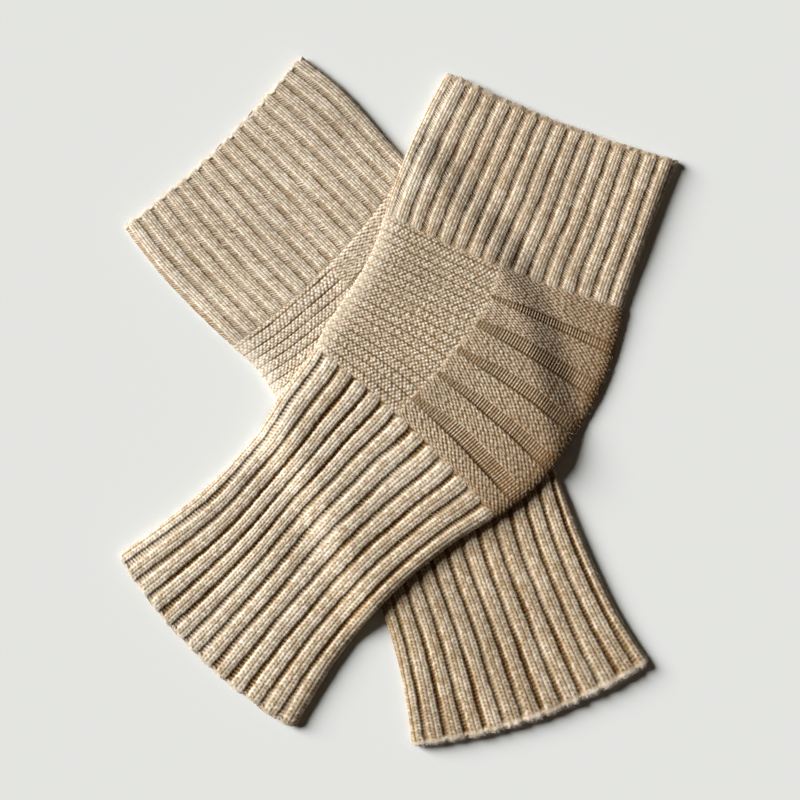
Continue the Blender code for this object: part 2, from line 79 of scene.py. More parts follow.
OVER = (
    Section("thigh_hem", 26.6, 198.4, 166.4, 144.5, 4.2, 0.0),
    Section("thigh_upper", 15.8, 178.1, 158.1, 125.0, 5.5, 0.0),
    Section("thigh_lower", 2.8, 150.0, 145.1, 90.5, 5.3, 0.0),
    Section("thigh_end", -10.1, 113.9, 133.8, 56.5, 4.5, 0.0),
    Section("band_1", -15.0, 97.8, 127.7, 31.2, 0.6, 3.0),
    Section("band_2", -22.2, 82.6, 119.2, 7.1, -3.6, 6.0),
    Section("band_3", -30.9, 68.4, 106.1, -15.9, -4.8, 9.0),
    Section("band_4", -39.5, 55.4, 89.1, -40.3, -6.6, 12.0),
    Section("band_5", -47.6, 42.5, 68.4, -60.5, -6.8, 15.0),
    Section("knee_end", -51.6, 34.2, 56.7, -68.4, -4.5, 16.7),
    Section("calf_upper", -70.7, 8.1, 34.2, -81.3, -4.4, 16.7),
    Section("calf_narrow", -83.4, -13.3, 18.1, -93.6, -3.5, 16.7),
    Section("calf_middle", -99.5, -33.2, -1.7, -111.0, 0.0, 16.7),
    Section("calf_lower", -127.8, -59.5, -30.6, -143.3, 4.8, 16.7),
    Section("calf_flare", -151.3, -77.8, -49.4, -171.1, 7.1, 16.7),
    Section("calf_hem", -169.5, -90.6, -63.9, -195.1, 9.0, 16.7),
)
UNDER = (
    Section("thigh_hem", -166.8, 105.0, -59.1, 209.2, 5.5, 0.0),
    Section("thigh_upper", -147.8, 80.2, -35.8, 190.4, 5.4, 0.0),
    Section("thigh_lower", -125.2, 56.2, -15.5, 167.8, 6.6, 0.0),
    Section("thigh_end", -101.7, 33.8, 4.6, 143.8, 7.8, 0.0),
    Section("band_1", -89.0, 22.6, 23.0, 122.7, 5.4, 3.0),
    Section("band_2", -79.0, 8.7, 40.0, 103.1, 1.8, 6.0),
    Section("band_3", -70.2, -6.1, 54.5, 81.7, -1.8, 9.0),
    Section("band_4", -63.0, -19.8, 67.3, 54.8, -4.2, 12.0),
    Section("band_5", -56.0, -33.5, 75.8, 27.3, -6.0, 15.0),
    Section("knee_end", -52.3, -41.3, 78.9, 12.9, -6.0, 16.7),
    Section("calf_upper", -36.3, -71.1, 83.6, -11.7, -4.8, 16.7),
    Section("calf_middle", -13.8, -119.5, 100.2, -61.6, 0.0, 16.7),
    Section("calf_lower", -1.9, -155.8, 117.6, -101.8, 3.6, 16.7),
    Section("calf_flare", 3.1, -180.9, 130.7, -127.6, 5.2, 16.7),
    Section("calf_hem", 6.5, -204.9, 148.4, -155.0, 8.4, 16.7),
)


@dataclass(frozen=True)
class TubeSizes:
    """How thick the knit is and how a warmer rounds at its folds."""

    wall: float = 1.8
    hollow: float = 1.0
    seam_gap: float = 0.3
    garter_roll: float = 9.0
    kneecap_roll: float = 7.0
    lower_roll: float = 3.0
    fold_rib: float = 0.9
    climb_ramp: float = 26.0
    hem_blend: float = 9.0
    calf_rib: float = 1.4

    @property
    def height(self) -> float:
        """Height of a laid-out warmer without its ribs."""
        return 2.0 * self.wall + self.hollow

    @property
    def climb(self) -> float:
        """How far the upper warmer is lifted where it lies over the lower one."""
        return self.height + self.calf_rib + self.seam_gap

    @property
    def rolls(self) -> tuple[float, float, float]:
        """How far in from each fold the faces round: garter side, kneecap side, underneath."""
        return self.garter_roll, self.kneecap_roll, self.lower_roll


TUBE = TubeSizes()


class Part(Enum):
    """The four stretches of a warmer, by the names of their solids.

    The line where the short rows end parts the two halves of the knee.
    """

    THIGH = "thigh_cuff"
    GARTER = "knee_panel"
    KNEECAP = "kneecap"
    CALF = "calf_rib"


def smooth(share: Array | float) -> Array:
    """Returns a soft step from 0 to 1 while the share goes from 0 to 1."""
    share = np.clip(share, 0.0, 1.0)
    return share * share * (3.0 - 2.0 * share)


def bump(share: Array, middle: float, reach: float) -> Array:
    """Returns a soft hump of height 1 at the middle that falls to 0 at the reach on either side."""
    return smooth(1.0 - np.abs(share - middle) / reach)


def rounding(distance: Array, reach: float) -> Array:
    """Returns the fall of a quarter round, from 1 at an edge to 0 at the reach from it."""
    inside = np.clip(1.0 - distance / reach, 0.0, 1.0)
    return 1.0 - np.sqrt(1.0 - inside**2)


class NaturalSpline:
    """A natural cubic spline through rows of values, which runs on straight past its ends."""

    def __init__(self, knots: Array, values: Array) -> None:
        """Works out the bends of the spline.

        Args:
            knots: rising positions.
            values: a row of values for each knot.
        """
        self.knots = knots
        self.values = values
        steps = np.diff(knots)
        matrix = np.eye(len(knots))
        right = np.zeros(values.shape)
        for i in range(1, len(knots) - 1):
            before, after = steps[i - 1], steps[i]
            matrix[i, i - 1 : i + 2] = before, 2.0 * (before + after), after
            rise = (values[i + 1] - values[i]) / after
            right[i] = 6.0 * (rise - (values[i] - values[i - 1]) / before)
        self.bends = np.linalg.solve(matrix, right)

    def at(self, position: Array) -> Array:
        """Reads the spline.

        Args:
            position: where to read it.

        Returns:
            The row of values at each position.
        """
        i = np.clip(np.searchsorted(self.knots, position) - 1, 0, len(self.knots) - 2)
        step = (self.knots[i + 1] - self.knots[i])[..., None]
        first = (self.knots[i + 1] - position)[..., None] / step
        second = 1.0 - first
        bend = (first**3 - first) * self.bends[i] + (second**3 - second) * self.bends[i + 1]
        inside = ((position >= self.knots[0]) & (position <= self.knots[-1]))[..., None]
        row = first * self.values[i] + second * self.values[i + 1]
        return row + np.where(inside, bend * step**2 / 6.0, 0.0)


class LaidForm:
    """The laid-out form of one warmer, which places any point along, across and above it."""

    outline_steps = 60
    hem_steps = 12

    def __init__(self, sections: tuple[Section, ...], lies_over: "LaidForm | None" = None) -> None:
        """Prepares the splines through the sections.

        Args:
            sections: the measured courses from the thigh hem to the calf hem.
            lies_over: the warmer underneath, if there is one.
        """
        self.names = [row.name for row in sections]
        self.ridges = np.array([row.ridges for row in sections])
        values = np.array([(row.left_x, row.left_y, row.right_x, row.right_y, row.bow) for row in sections])
        middle = (values[:, 0:2] + values[:, 2:4]) / 2.0
        steps = np.linalg.norm(np.diff(middle, axis=0), axis=1)
        self.along = np.concatenate([[0.0], np.cumsum(steps)])
        self.spline = NaturalSpline(self.along, values)
        self.lies_over = None if lies_over is None else lies_over.outline()

    def place_of(self, section_name: str) -> float:
        """Returns the distance from the thigh hem to a named section."""
        return float(self.along[self.names.index(section_name)])

    def ridge_at(self, along: Array) -> Array:
        """Returns how many garter ridges are knitted up to a place on the knee."""
        return np.interp(along, self.along, self.ridges)

    def course(self, along: Array) -> tuple[Array, Array, Array, Array, Array]:
        """Reads the spline.

        Args:
            along: distances from the thigh hem.

        Returns:
            Middle, direction across, direction towards the calf, half width and bow of each course.
        """
        row = self.spline.at(along)
        left, right, bow = row[..., 0:2], row[..., 2:4], row[..., 4]
        width = np.linalg.norm(right - left, axis=-1)
        across = (right - left) / width[..., None]
        forward = np.stack([across[..., 1], -across[..., 0]], axis=-1)
        return (left + right) / 2.0, across, forward, width / 2.0, bow

    def points(self, along: Array, offset: Array, height: Array) -> Array:
        """Places points of the warmer.

        Args:
            along: distances from the thigh hem.
            offset: distances from the middle line.
            height: heights above what the warmer lies on.

        Returns:
            World points in millimetres.
        """
        middle, across, forward, half, bow = self.course(along)
        share = np.clip(offset / half, -1.0, 1.0)
        bowed = bow * (1.0 - share**2)
        flat = middle + across * offset[..., None] + forward * bowed[..., None]
        return np.concatenate([flat, (height + self.climb(flat))[..., None]], axis=-1)

    def climb(self, flat: Array) -> Array:
        """Works out how far the cloth is lifted by the warmer that it lies over.

        Args:
            flat: points seen from above.

        Returns:
            The lift at each point.
        """
        if self.lies_over is None:
            return np.zeros(flat.shape[:-1])
        outside = distance_outside(flat.reshape(-1, 2), self.lies_over).reshape(flat.shape[:-1])
        return TUBE.climb * (1.0 - smooth(outside / TUBE.climb_ramp))

    def outline(self) -> Array:
        """Traces the warmer's outline.

        Returns:
            The corners of one closed ring, seen from above.
        """
        along = np.linspace(0.0, self.along[-1], self.outline_steps)
        middle, across, _, half, _ = self.course(along)
        left = middle - across * half[:, None]
        right = middle + across * half[:, None]
        return np.concatenate([left, self.hem_line(along[-1]), right[::-1], self.hem_line(0.0)[::-1]])

    def hem_line(self, end: float) -> Array:
        """Traces a hem.

        Args:
            end: distance of the hem from the thigh hem.

        Returns:
            Points from left to right along it, without its two ends.
        """
        share = np.linspace(-1.0, 1.0, self.hem_steps)[1:-1]
        middle, across, forward, half, bow = self.course(np.full(len(share), end))
        bowed = bow * (1.0 - share**2)
        return middle + across * (half * share)[:, None] + forward * bowed[:, None]


def distance_outside(points: Array, ring: Array) -> Array:
    """Measures how far points lie outside a closed ring.

    Args:
        points: flat points.
        ring: the corners of the ring in order.

    Returns:
        Each point's distance from the ring, 0 inside it.
    """
    nearest = np.full(len(points), np.inf)
    inside = np.zeros(len(points), dtype=bool)
    for start, end in zip(ring, np.roll(ring, -1, axis=0)):
        edge = end - start
        share = np.clip(((points - start) @ edge) / (edge @ edge), 0.0, 1.0)
        away = np.linalg.norm(points - start - share[:, None] * edge, axis=1)
        nearest = np.minimum(nearest, away)
        if start[1] != end[1]:
            crosses = (start[1] > points[:, 1]) != (end[1] > points[:, 1])
            meets = start[0] + (points[:, 1] - start[1]) * edge[0] / edge[1]
            inside ^= crosses & (points[:, 0] < meets)
    return np.where(inside, 0.0, nearest)


@dataclass(frozen=True)
class FlattenedSection:
    """One flattened section of a tube, which gives the offset, height and normal at shares round it."""

    half: float
    height: float
    base: float
    rolls: tuple[float, float, float]
    arc_steps: int = 24

    def _quarter(self, roll: float, side: int, rise: float) -> Array:
        """Rounds one fold.

        Args:
            roll: how far in from the fold the rounding goes.
            side: -1 for the garter side and 1 for the kneecap side.
            rise: half the section's height, negative for the lower face.

        Returns:
            Points of a quarter ellipse from the fold on to the face.
        """
        turn = np.linspace(0.0, math.pi / 2.0, self.arc_steps)
        offset = side * (self.half - roll * (1.0 - np.cos(turn)))
        return np.stack([offset, self.base + abs(rise) + rise * np.sin(turn)], axis=1)

    def at(self, shares: Array) -> tuple[Array, Array, Array]:
        """Reads the section.

        Args:
            shares: places round the tube.

        Returns:
            Offsets from the middle line, heights and outward normals.
        """
        roll_left, roll_right, roll_low = self.rolls
        rise = self.height / 2.0
        top = [self._quarter(roll_left, -1, rise), self._quarter(roll_right, 1, rise)[::-1]]
        low = [self._quarter(roll_low, 1, -rise)[1:], self._quarter(roll_low, -1, -rise)[::-1]]
        ring = np.concatenate(top + low)
        length = np.concatenate([[0.0], np.cumsum(np.linalg.norm(np.diff(ring, axis=0), axis=1))])
        fold = length[2 * self.arc_steps - 1]
        lower = 1.0 + (length - fold) / (length[-1] - fold)
        place = np.where(length <= fold, length / fold, lower)
        tangent = np.gradient(ring, length, axis=0)
        normal = np.stack([-tangent[:, 1], tangent[:, 0]], axis=1)
        normal /= np.linalg.norm(normal, axis=1)[:, None]
        wrapped = np.mod(shares, 2.0)
        columns = (*ring.T, *normal.T)
        offset, height, out_x, out_z = (np.interp(wrapped, place, column) for column in columns)
        return offset, height, np.stack([out_x, out_z], axis=1)


# ---- stitches --------------------------------------------------------------------------------------------

# The row or column of the table where each kind of unevenness starts.
RIB_DRAW = 40.0
RAGGED_DRAW = 150.0
LINE_DRAW = 90.0
DOT_DRAW = 90.0
GUTTER_DRAW = 120.0
DASH_DRAW = 30.0
LIP_DRAW = 200.0
FLUFF_DRAW = 7.0
FRAY_DRAW = 3.0
ROW_DRAW = 40.0
BUMP_DRAW = 60.0
SIDEWAYS_DRAW = 70.0
LENGTHWAYS_DRAW = 130.0
WANDER_DRAW = 20.0
VALLEY_DRAW = 90.0
LEG_DRAW = 10.0
BAND_DRAW = 140.0
TINY = 1e-6


@dataclass(frozen=True)
class StitchField:
    """What the stitches do at a grid of points: how far they stand out, and their tone."""

    relief: Array
    tone: Array


@dataclass(frozen=True)
class Unevenness:
    """How much hand-knitted stitches differ, from a seeded table."""

    seed: int
    size: int = 257

    def at(self, row: Array, column: Array) -> Array:
        """Returns a number from -1 to 1 for each whole row and column."""
        table = np.random.default_rng(self.seed).uniform(-1.0, 1.0, (self.size, self.size))
        return table[row.astype(int) % self.size, column.astype(int) % self.size]

    def between(self, row: Array, column: Array) -> Array:
        """Reads the table softly along its rows.

        Args:
            row: places along the table.
            column: whole columns.

        Returns:
            Numbers from -1 to 1 that change softly from one whole row to the next.
        """
        whole = np.floor(row)
        share = smooth(row - whole)
        return (1.0 - share) * self.at(whole, column) + share * self.at(whole + 1.0, column)


@dataclass(frozen=True)
class Drift:
    """How far ribs lie from their even places, in ribs, at a few places along and shares across."""

    places: tuple[float, ...]
    ribs: tuple[tuple[float, ...], ...]
    shares: tuple[float, ...] = (0.0, 0.25, 0.5, 0.75, 1.0)
    fade: float = 0.2

    def at(self, places: Array, shares: Array) -> Array:
        """Works out the drift.

        Args:
            places: distances along, one for each row.
            shares: places round the warmer, one for each column.

        Returns:
            The drift in ribs, for each row and column.
        """
        rows = NaturalSpline(np.array(self.places), np.array(self.ribs)).at(places)
        upper = NaturalSpline(np.array(self.shares), rows.T).at(np.clip(shares, 0.0, 1.0)).T
        past_right = np.clip(1.0 - (shares - 1.0) / self.fade, 0.0, 1.0)
        past_left = np.clip(1.0 - (2.0 - shares) / self.fade, 0.0, 1.0)
        lower = rows[:, -1:] * past_right + rows[:, :1] * past_left
        return np.where(shares <= 1.0, upper, lower)


@dataclass(frozen=True)
class Openness:
    """How far the gutters are pulled open, 0 to 1, at a few places along and shares across.

    An open gutter narrows the ribs beside it. It is shallower and lighter, and its dashes are bolder.
    """

    places: tuple[float, ...] = (0.0, 1.0)
    shares: tuple[float, ...] = (0.0, 1.0)
    amounts: tuple[tuple[float, ...], ...] = ((0.0, 0.0), (0.0, 0.0))
    narrows: float = 0.14
    lifts: float = 0.6
    lightens: float = 0.14
    dashes: float = 1.1

    def at(self, places: Array, shares: Array) -> Array:
        """Works out how open the gutters are.

        Args:
            places: distances along, one for each row.
            shares: places round the warmer, one for each column.

        Returns:
            The openness for each row and column.
        """
        across = np.array([np.interp(shares, self.shares, row) for row in self.amounts])
        row = np.interp(places, self.places, np.arange(float(len(self.places))))
        whole = np.minimum(row.astype(int), len(self.places) - 2)
        part = smooth(row - whole)[:, None]
        return (1.0 - part) * across[whole] + part * across[whole + 1]


@dataclass(frozen=True)
class HemLip:
    """The fluffy edge where the knitting ends: how wide, high and light it is, and how it waves."""

    width: float = 2.0
    height: float = 0.6
    tone: float = 0.7
    reach: float = 0.8
    scallop: float = 1.2
    scallop_level: float = 0.6
    fray: float = 0.3
    fray_pitch: float = 6.0
    rib_change: float = 0.25
    low_height: float = 0.55
    low_tone: float = 0.85
    knots: float = 2.0
    knot_height: float = 0.15
    knot_tone: float = 0.14
    fluff_pitch: float = 4.3
    fluff_height: float = 0.35
    fluff_tone: float = 0.18
    edge_start: float = 0.6
    round: float = 1.4
    fall_share: float = 0.8
    blend: float = 5.0
    corner: float = 3.0
    corner_reach: float = 5.0

    def share(self, from_hem: Array) -> Array:
        """Returns how far each row belongs to the lip, from 0 to 1."""
        start = self.edge_start * self.width
        return 1.0 - smooth((from_hem - start) / start)

    def knot(self, ribs: Array) -> Array:
        """Returns how high each point stands on the small knots along the lip, from 0 to 1."""
        return 0.5 + 0.5 * np.cos(2.0 * math.pi * self.knots * ribs)

    def fall(self, from_hem: Array) -> Array:
        """Returns how far the face rounds down towards the very edge."""
        return self.fall_share * self.round * rounding(from_hem, self.round)

    def cut_corner(self, shares: Array, width: float) -> Array:
        """Returns how far the two corners of a hem of this width draw back at shares round the tube."""
        from_fold = np.abs((shares + 0.5) % 1.0 - 0.5) * width
        return self.corner * rounding(from_fold, self.corner_reach)

    def over(
        self, field: StitchField, arch: Array, knot: Array, fluff: Array, from_hem: Array
    ) -> StitchField:
        """Turns the last rows before the hem into the lip.

        Args:
            field: the plain stitches.
            arch: how far each point is up its rib's round section.
            knot: how high each point stands on the lip's knots.
            fluff: the lip's unevenness at each point.
            from_hem: distance of each row from the hem.

        Returns:
            The stitches with the lip.
        """
        lip = self.share(from_hem)[:, None]
        rounded = self.low_height + (1.0 - self.low_height) * arch
        height = self.height * rounded + self.knot_height * (knot - 0.5) + self.fluff_height * fluff
        rounded = self.low_tone + (1.0 - self.low_tone) * arch
        tone = self.tone * (rounded + self.knot_tone * (knot - 0.5) + self.fluff_tone * fluff)
        relief = (1.0 - lip) * field.relief + lip * height - self.fall(from_hem)[:, None]
        return StitchField(relief, (1.0 - lip) * field.tone + lip * tone)


@dataclass(frozen=True)
class Crest:
    """A rib's crest: two knit columns, so four slanted strands, with dots between their legs that dip and
    are painted in shade.

    Half is half its width in ribs. A bead is the part of a strand that one stitch shows.
    """

    half: float
    height: float
    strand_relief: float
    dots: float
    side_shade: float
    skew: float = 0.0
    lean: float = 0.5
    strands: int = 4
    strand_points: int = 4
    strand_gap: float = 0.5
    wobble: float = 0.3
    wobble_length: float = 12.0
    bead_end: float = 0.7
    bead_end_power: float = 1.9
    bead_side_power: float = 2.5
    bead_change: float = 0.12
    bead_most: float = 1.1
    bead_level: float = 0.6
    bead_tone: float = 0.72
    ground_tone: float = 0.16
    stitch_tone: float = 0.09
    dot_width: float = 0.17
    dot_change: float = 0.45
    dot_turn: float = 0.25
    groove: float = 0.3
    groove_width: float = 0.07


@dataclass(frozen=True)
class Gutter:
    """The gutter between two ribs, with its slanted purl dashes."""

    floor: float
    tone: float
    change: float
    dash_relief: float
    dash_tone: float
    dash_lean: float
    points: int = 3
    dash_shift: float = 0.15
    shift_length: float = 2.7
    dash_depth: float = 0.7
    dash_change: float = 0.35


@dataclass(frozen=True)
class RibEdge:
    """The two edges of a rib: how unevenly they run, and the painted shade line along the shaded one."""

    line: float
    line_width: float = 0.16
    line_length: float = 2.6
    wave: float = 0.035
    change: float = 0.06
    foot: float = 0.45


@dataclass(frozen=True)
class RibStart:
    """How a rib grows out of the knee: narrower and lower for its first stitches."""

    tip_length: float = 2.4
    tip_share: float = 0.5
    rise_length: float = 3.5
    rise_share: float = 0.45

    def width(self, from_knee: Array) -> Array:
        """Returns the share of a rib's full width at distances from the knee."""
        tip = np.clip(from_knee / self.tip_length, 0.0, 1.0)
        return self.tip_share + (1.0 - self.tip_share) * np.sqrt(1.0 - (1.0 - tip) ** 2)

    def height(self, shown: Array) -> Array:
        """Returns the share of a rib's full height where it is shown by a share from 0 to 1."""
        return self.rise_share + (1.0 - self.rise_share) * shown


@dataclass(frozen=True)
class RibStitches:
    """A 2x2 rib of knit crests and purl gutters, counted and placed across one stretch."""

    across: float
    first: float
    course: float
    drift: Drift
    crest: Crest
    gutter: Gutter
    edge: RibEdge
    hem: HemLip
    unevenness: Unevenness
    lower_shows: float
    lightness: float
    closer: float = 0.0
    openness: Openness = Openness()
    start: RibStart = RibStart()
    arch: float = 2.4
    slow_length: float = 24.0
    width_change: float = 0.06
    tone_change: float = 0.07
    count_steps: int = 800

    def count(self, share: Array) -> Array:
        """Returns the ribs counted from the first crest to a share of the upper face."""
        return self.first + self.across * share + self.closer * share * (1.0 - share)

    def offsets(self) -> Array:
        """Spreads the points over a rib.

        Returns:
            Where they lie, as shares of a rib from its crest.
        """
        half = self.crest.half
        crest = np.linspace(-half, half, self.crest.strands * self.crest.strand_points + 1)
        gutter = np.linspace(half, 1.0 - half, self.gutter.points + 2)[1:-1]
        return np.concatenate([crest, gutter])

    def columns(self, space: float) -> tuple[Array, Array]:
        """Places the points across the upper face.

        Args:
            space: how far past the folds the points reach, as a share.

        Returns:
            The shares of the points and their rib counts.
        """
        fine = np.linspace(-space, 1.0 + space, self.count_steps)
        counts = self.count(fine)
        whole = np.arange(math.floor(counts[0]) - 1, math.ceil(counts[-1]) + 2)
        ribs = np.sort((whole[:, None] + self.offsets()[None, :]).ravel())
        ribs = ribs[(ribs > counts[0]) & (ribs < counts[-1])]
        return np.interp(ribs, counts, fine), ribs

    def drifted(self, places: Array, shares: Array) -> Array:
        """Returns shares moved sideways with the ribs, for each row and column."""
        spread = self.across + self.closer * (1.0 - 2.0 * np.clip(shares, 0.0, 1.0))
        return shares + self.drift.at(places, shares) / spread

    def arched(self, side: Array) -> Array:
        """Returns how far up a rib's round section points are, by their half widths from its middle."""
        return np.sqrt(np.clip(1.0 - np.abs(side) ** self.arch, 0.0, 1.0))

    def field(
        self, places: Array, shares: Array, ribs: Array, from_knee: Array, from_hem: Array
    ) -> StitchField:
        """Works out the stitches.

        Args:
            places: distances along, one for each row.
            shares: places round the warmer, one for each column.
            ribs: rib counts, one for each column.
            from_knee: distance of each row from the knee.
            from_hem: distance of each row from the hem.

        Returns:
            The stitches' relief and tone.
        """
        place = places[:, None]
        rib = np.round(ribs)[None, :] + RIB_DRAW
        slow = self.unevenness.between(place / self.slow_length, rib)
        opened = self.openness.at(places, shares)
        half = self._half_width(place, rib, slow, opened, from_knee[:, None])
        side = (ribs - np.round(ribs))[None, :] / half
        arch = self.arched(side)
        on_crest = smooth(arch / self.edge.foot)
        crest = self._crest(place, np.clip(side, -1.0, 1.0), rib)
        floor, gutter = self._gutter(place, ribs, opened)
        shown = smooth(from_knee[:, None] / self.start.rise_length)
        height = self.crest.height * self.start.height(shown)
        floor = floor * shown
        relief = floor + (height - floor) * arch
        relief = relief + on_crest * crest.relief + (1.0 - on_crest) * gutter.relief
        tone = on_crest * crest.tone * (1.0 + self.tone_change * slow) + (1.0 - on_crest) * gutter.tone
        tone = self.lightness * tone * (1.0 - self._painted_edge_shade(place, side, rib))
        knot = self.hem.knot(ribs)[None, :]
        fluff = ribs * self.hem.fluff_pitch + LIP_DRAW
        fluff = self.unevenness.between(fluff, np.full(len(ribs), FLUFF_DRAW))[None, :]
        return self.hem.over(StitchField(relief, tone), arch, knot, fluff, from_hem)

    def _half_width(self, place: Array, rib: Array, slow: Array, opened: Array, from_knee: Array) -> Array:
        """Works out how wide the ribs are.

        Args:
            place: distances along.
            rib: the rib of each column.
            slow: each rib's slow unevenness.
            opened: how open the gutters are.
            from_knee: distance of each row from the knee.

        Returns:
            Half the width in ribs, for each row and column.
        """
        course = place / self.course
        ragged = self.edge.wave * np.cos(2.0 * math.pi * course)
        ragged = ragged + self.edge.change * self.unevenness.between(course, rib + RAGGED_DRAW)
        half = self.crest.half * self.start.width(from_knee) * (1.0 + self.width_change * slow + ragged)
        return half * (1.0 - self.openness.narrows * opened)

    def _painted_edge_shade(self, place: Array, side: Array, rib: Array) -> Array:
        """Returns how much the painted shade line along the shaded edge of each rib takes from the tone."""
        line = self.edge.line * np.exp(-(((side - 1.0) / self.edge.line_width) ** 2))
        return line * (1.0 + self.unevenness.between(place / self.edge.line_length, rib + LINE_DRAW))

    def _crest(self, place: Array, side: Array, rib: Array) -> StitchField:
        """Works out the knit columns on the crests.

        Args:
            place: distances along, one for each row.
            side: how far across its crest each point is, from -1 to 1.
            rib: the rib of each column.

        Returns:
            The strands' relief and tone.
        """
        crest = self.crest
        strand = np.clip((side + 1.0) / 2.0 * crest.strands, 0.0, crest.strands - TINY)
        number = np.floor(strand)
        across = 2.0 * (strand - number) - 1.0
        lean = np.where(number % 2 == 0, 1.0, -1.0)
        strand_id = rib * crest.strands + number
        wobble = crest.wobble * self.unevenness.between(place / crest.wobble_length, rib)
        straight = place / self.course + crest.skew * crest.half * side + wobble
        turn = straight + lean * crest.lean * across / 2.0
        stitch = np.floor(turn)
        along = 2.0 * (turn - stitch) - 1.0
        uneven = self.unevenness.at(stitch, strand_id)
        ends = crest.bead_end + (1.0 - crest.bead_end) * (1.0 - np.abs(along) ** crest.bead_end_power)
        bead = (1.0 - crest.strand_gap * np.abs(across) ** crest.bead_side_power) * ends
        bead = np.clip(bead * (1.0 + crest.bead_change * uneven), 0.0, crest.bead_most)
        groove = crest.groove * np.exp(-((side / crest.groove_width) ** 2))
        bead = bead * (1.0 - groove) * (1.0 - self._dots(straight, side, strand_id))
        relief = crest.strand_relief * (bead - crest.bead_level)
        tone = crest.ground_tone + crest.bead_tone * bead + crest.stitch_tone * uneven
        # Painted shade: one side of each crest is painted darker and the other lighter.
        return StitchField(relief, tone * (1.0 + crest.side_shade * side))

    def _dots(self, straight: Array, side: Array, strand_id: Array) -> Array:
        """Works out the dots between the legs of the stitches and between the two columns, dips that are
        painted in shade.

        Args:
            straight: courses counted along the warmer.
            side: how far across its crest each point is, from -1 to 1.
            strand_id: the strand of each point.

        Returns:
            How much the dots take from the strands, from 0 to 1.
        """
        crest = self.crest
        between_legs = np.exp(-(((np.abs(side) - 0.5) / crest.dot_width) ** 2))
        between_columns = np.exp(-((side / crest.dot_width) ** 2))
        phase = 2.0 * math.pi * (straight + crest.dot_turn * crest.lean)
        dots = between_legs * smooth(np.cos(phase)) + between_columns * smooth(-np.cos(phase))
        uneven = self.unevenness.at(np.floor(straight + 0.5), strand_id + DOT_DRAW)
        return np.clip(crest.dots * dots * (1.0 + crest.dot_change * uneven), 0.0, 1.0)

    def _gutter(self, place: Array, ribs: Array, opened: Array) -> tuple[Array, StitchField]:
        """Works out the gutters with their purl dashes.

        Args:
            place: distances along.
            ribs: rib counts, one for each column.
            opened: how open the gutters are.

        Returns:
            The height of their floor, and the dashes' relief above it with the gutters' tone.
        """
        own = self.gutter
        gutter = np.floor(ribs)[None, :] + GUTTER_DRAW
        across = (ribs - np.floor(ribs) - 0.5)[None, :]
        shift = own.dash_shift * self.unevenness.between(place / own.shift_length, gutter + DASH_DRAW)
        turn = place / self.course + own.dash_lean * across + shift
        slow = self.unevenness.between(place / self.slow_length, gutter)
        uneven = self.unevenness.at(np.floor(turn), gutter + 0.0 * turn)
        dash = np.cos(2.0 * math.pi * turn) * (1.0 + own.dash_depth * uneven) + own.dash_change * uneven
        dash = dash * (1.0 + self.openness.dashes * opened)
        tone = own.tone * (1.0 + own.change * slow) + self.openness.lightens * opened
        floor = own.floor * (1.0 - own.change * slow) * (1.0 - self.openness.lifts * opened)
        return floor, StitchField(own.dash_relief * dash, tone + own.dash_tone * dash)

    def scalloped(self, ribs: Array, from_hem: Array) -> Array:
        """Works out the scallops of the hem.

        Args:
            ribs: rib counts, one for each column.
            from_hem: distance of each row from the hem.

        Returns:
            How far each point reaches past the even hem line.
        """
        hem = self.hem
        fade = 1.0 - smooth(from_hem / hem.blend)
        uneven = self.unevenness.at(np.round(ribs) + RIB_DRAW, np.zeros(len(ribs)))
        fray = self.unevenness.between(ribs * hem.fray_pitch + LIP_DRAW, np.full(len(ribs), FRAY_DRAW))
        arch = self.arched((ribs - np.round(ribs)) / self.crest.half)
        wave = hem.reach + hem.scallop * (arch - hem.scallop_level) + hem.rib_change * uneven
        return fade[:, None] * (wave + hem.fray * fray)[None, :]


@dataclass(frozen=True)
class BumpRow:
    """One row of purl bumps in a repeat: where it lies, how far it is shifted and how big its bumps are."""

    at: float
    shift: float
    length: float
    breadth: float
    height: float


@dataclass(frozen=True)
class PurlBumps:
    """Rows of slanted purl bumps, no two quite alike, on a ground painted in shade."""

    rows: tuple[BumpRow, ...]
    unevenness: Unevenness
    relief: float = 0.5
    slant: float = 0.05
    jitter: float = 0.16
    size_change: float = 0.28
    ground_tone: float = 0.33
    bump_tone: float = 0.57

    def field(self, repeats: Array, stitches: Array) -> StitchField:
        """Works out the bumps.

        Args:
            repeats: counts of repeats of the rows.
            stitches: counts of stitches across.

        Returns:
            The bumps' relief and tone.
        """
        highest = np.zeros(repeats.shape)
        for number, row in enumerate(self.rows):
            nearest = np.round(repeats - row.at)
            row_id = nearest * len(self.rows) + number + ROW_DRAW
            for stitch_step in (-1.0, 0.0, 1.0):
                stitch = np.floor(stitches - row.shift) + stitch_step
                bump_id = stitch + BUMP_DRAW
                sideways = self.jitter * self.unevenness.at(row_id + SIDEWAYS_DRAW, bump_id)
                lengthways = self.unevenness.at(row_id, stitch + LENGTHWAYS_DRAW)
                right = stitches - row.shift - stitch - 0.5 - sideways
                down = repeats - nearest - row.at - self.jitter * row.breadth * lengthways
                down = down + self.slant * right
                away = (right / row.length) ** 2 + (down / row.breadth) ** 2
                size = 1.0 + self.size_change * self.unevenness.at(row_id, bump_id)
                highest = np.maximum(highest, row.height * np.sqrt(np.clip(1.0 - away, 0.0, 1.0)) * size)
        return StitchField(self.relief * (highest - 0.5), self.ground_tone + self.bump_tone * highest)


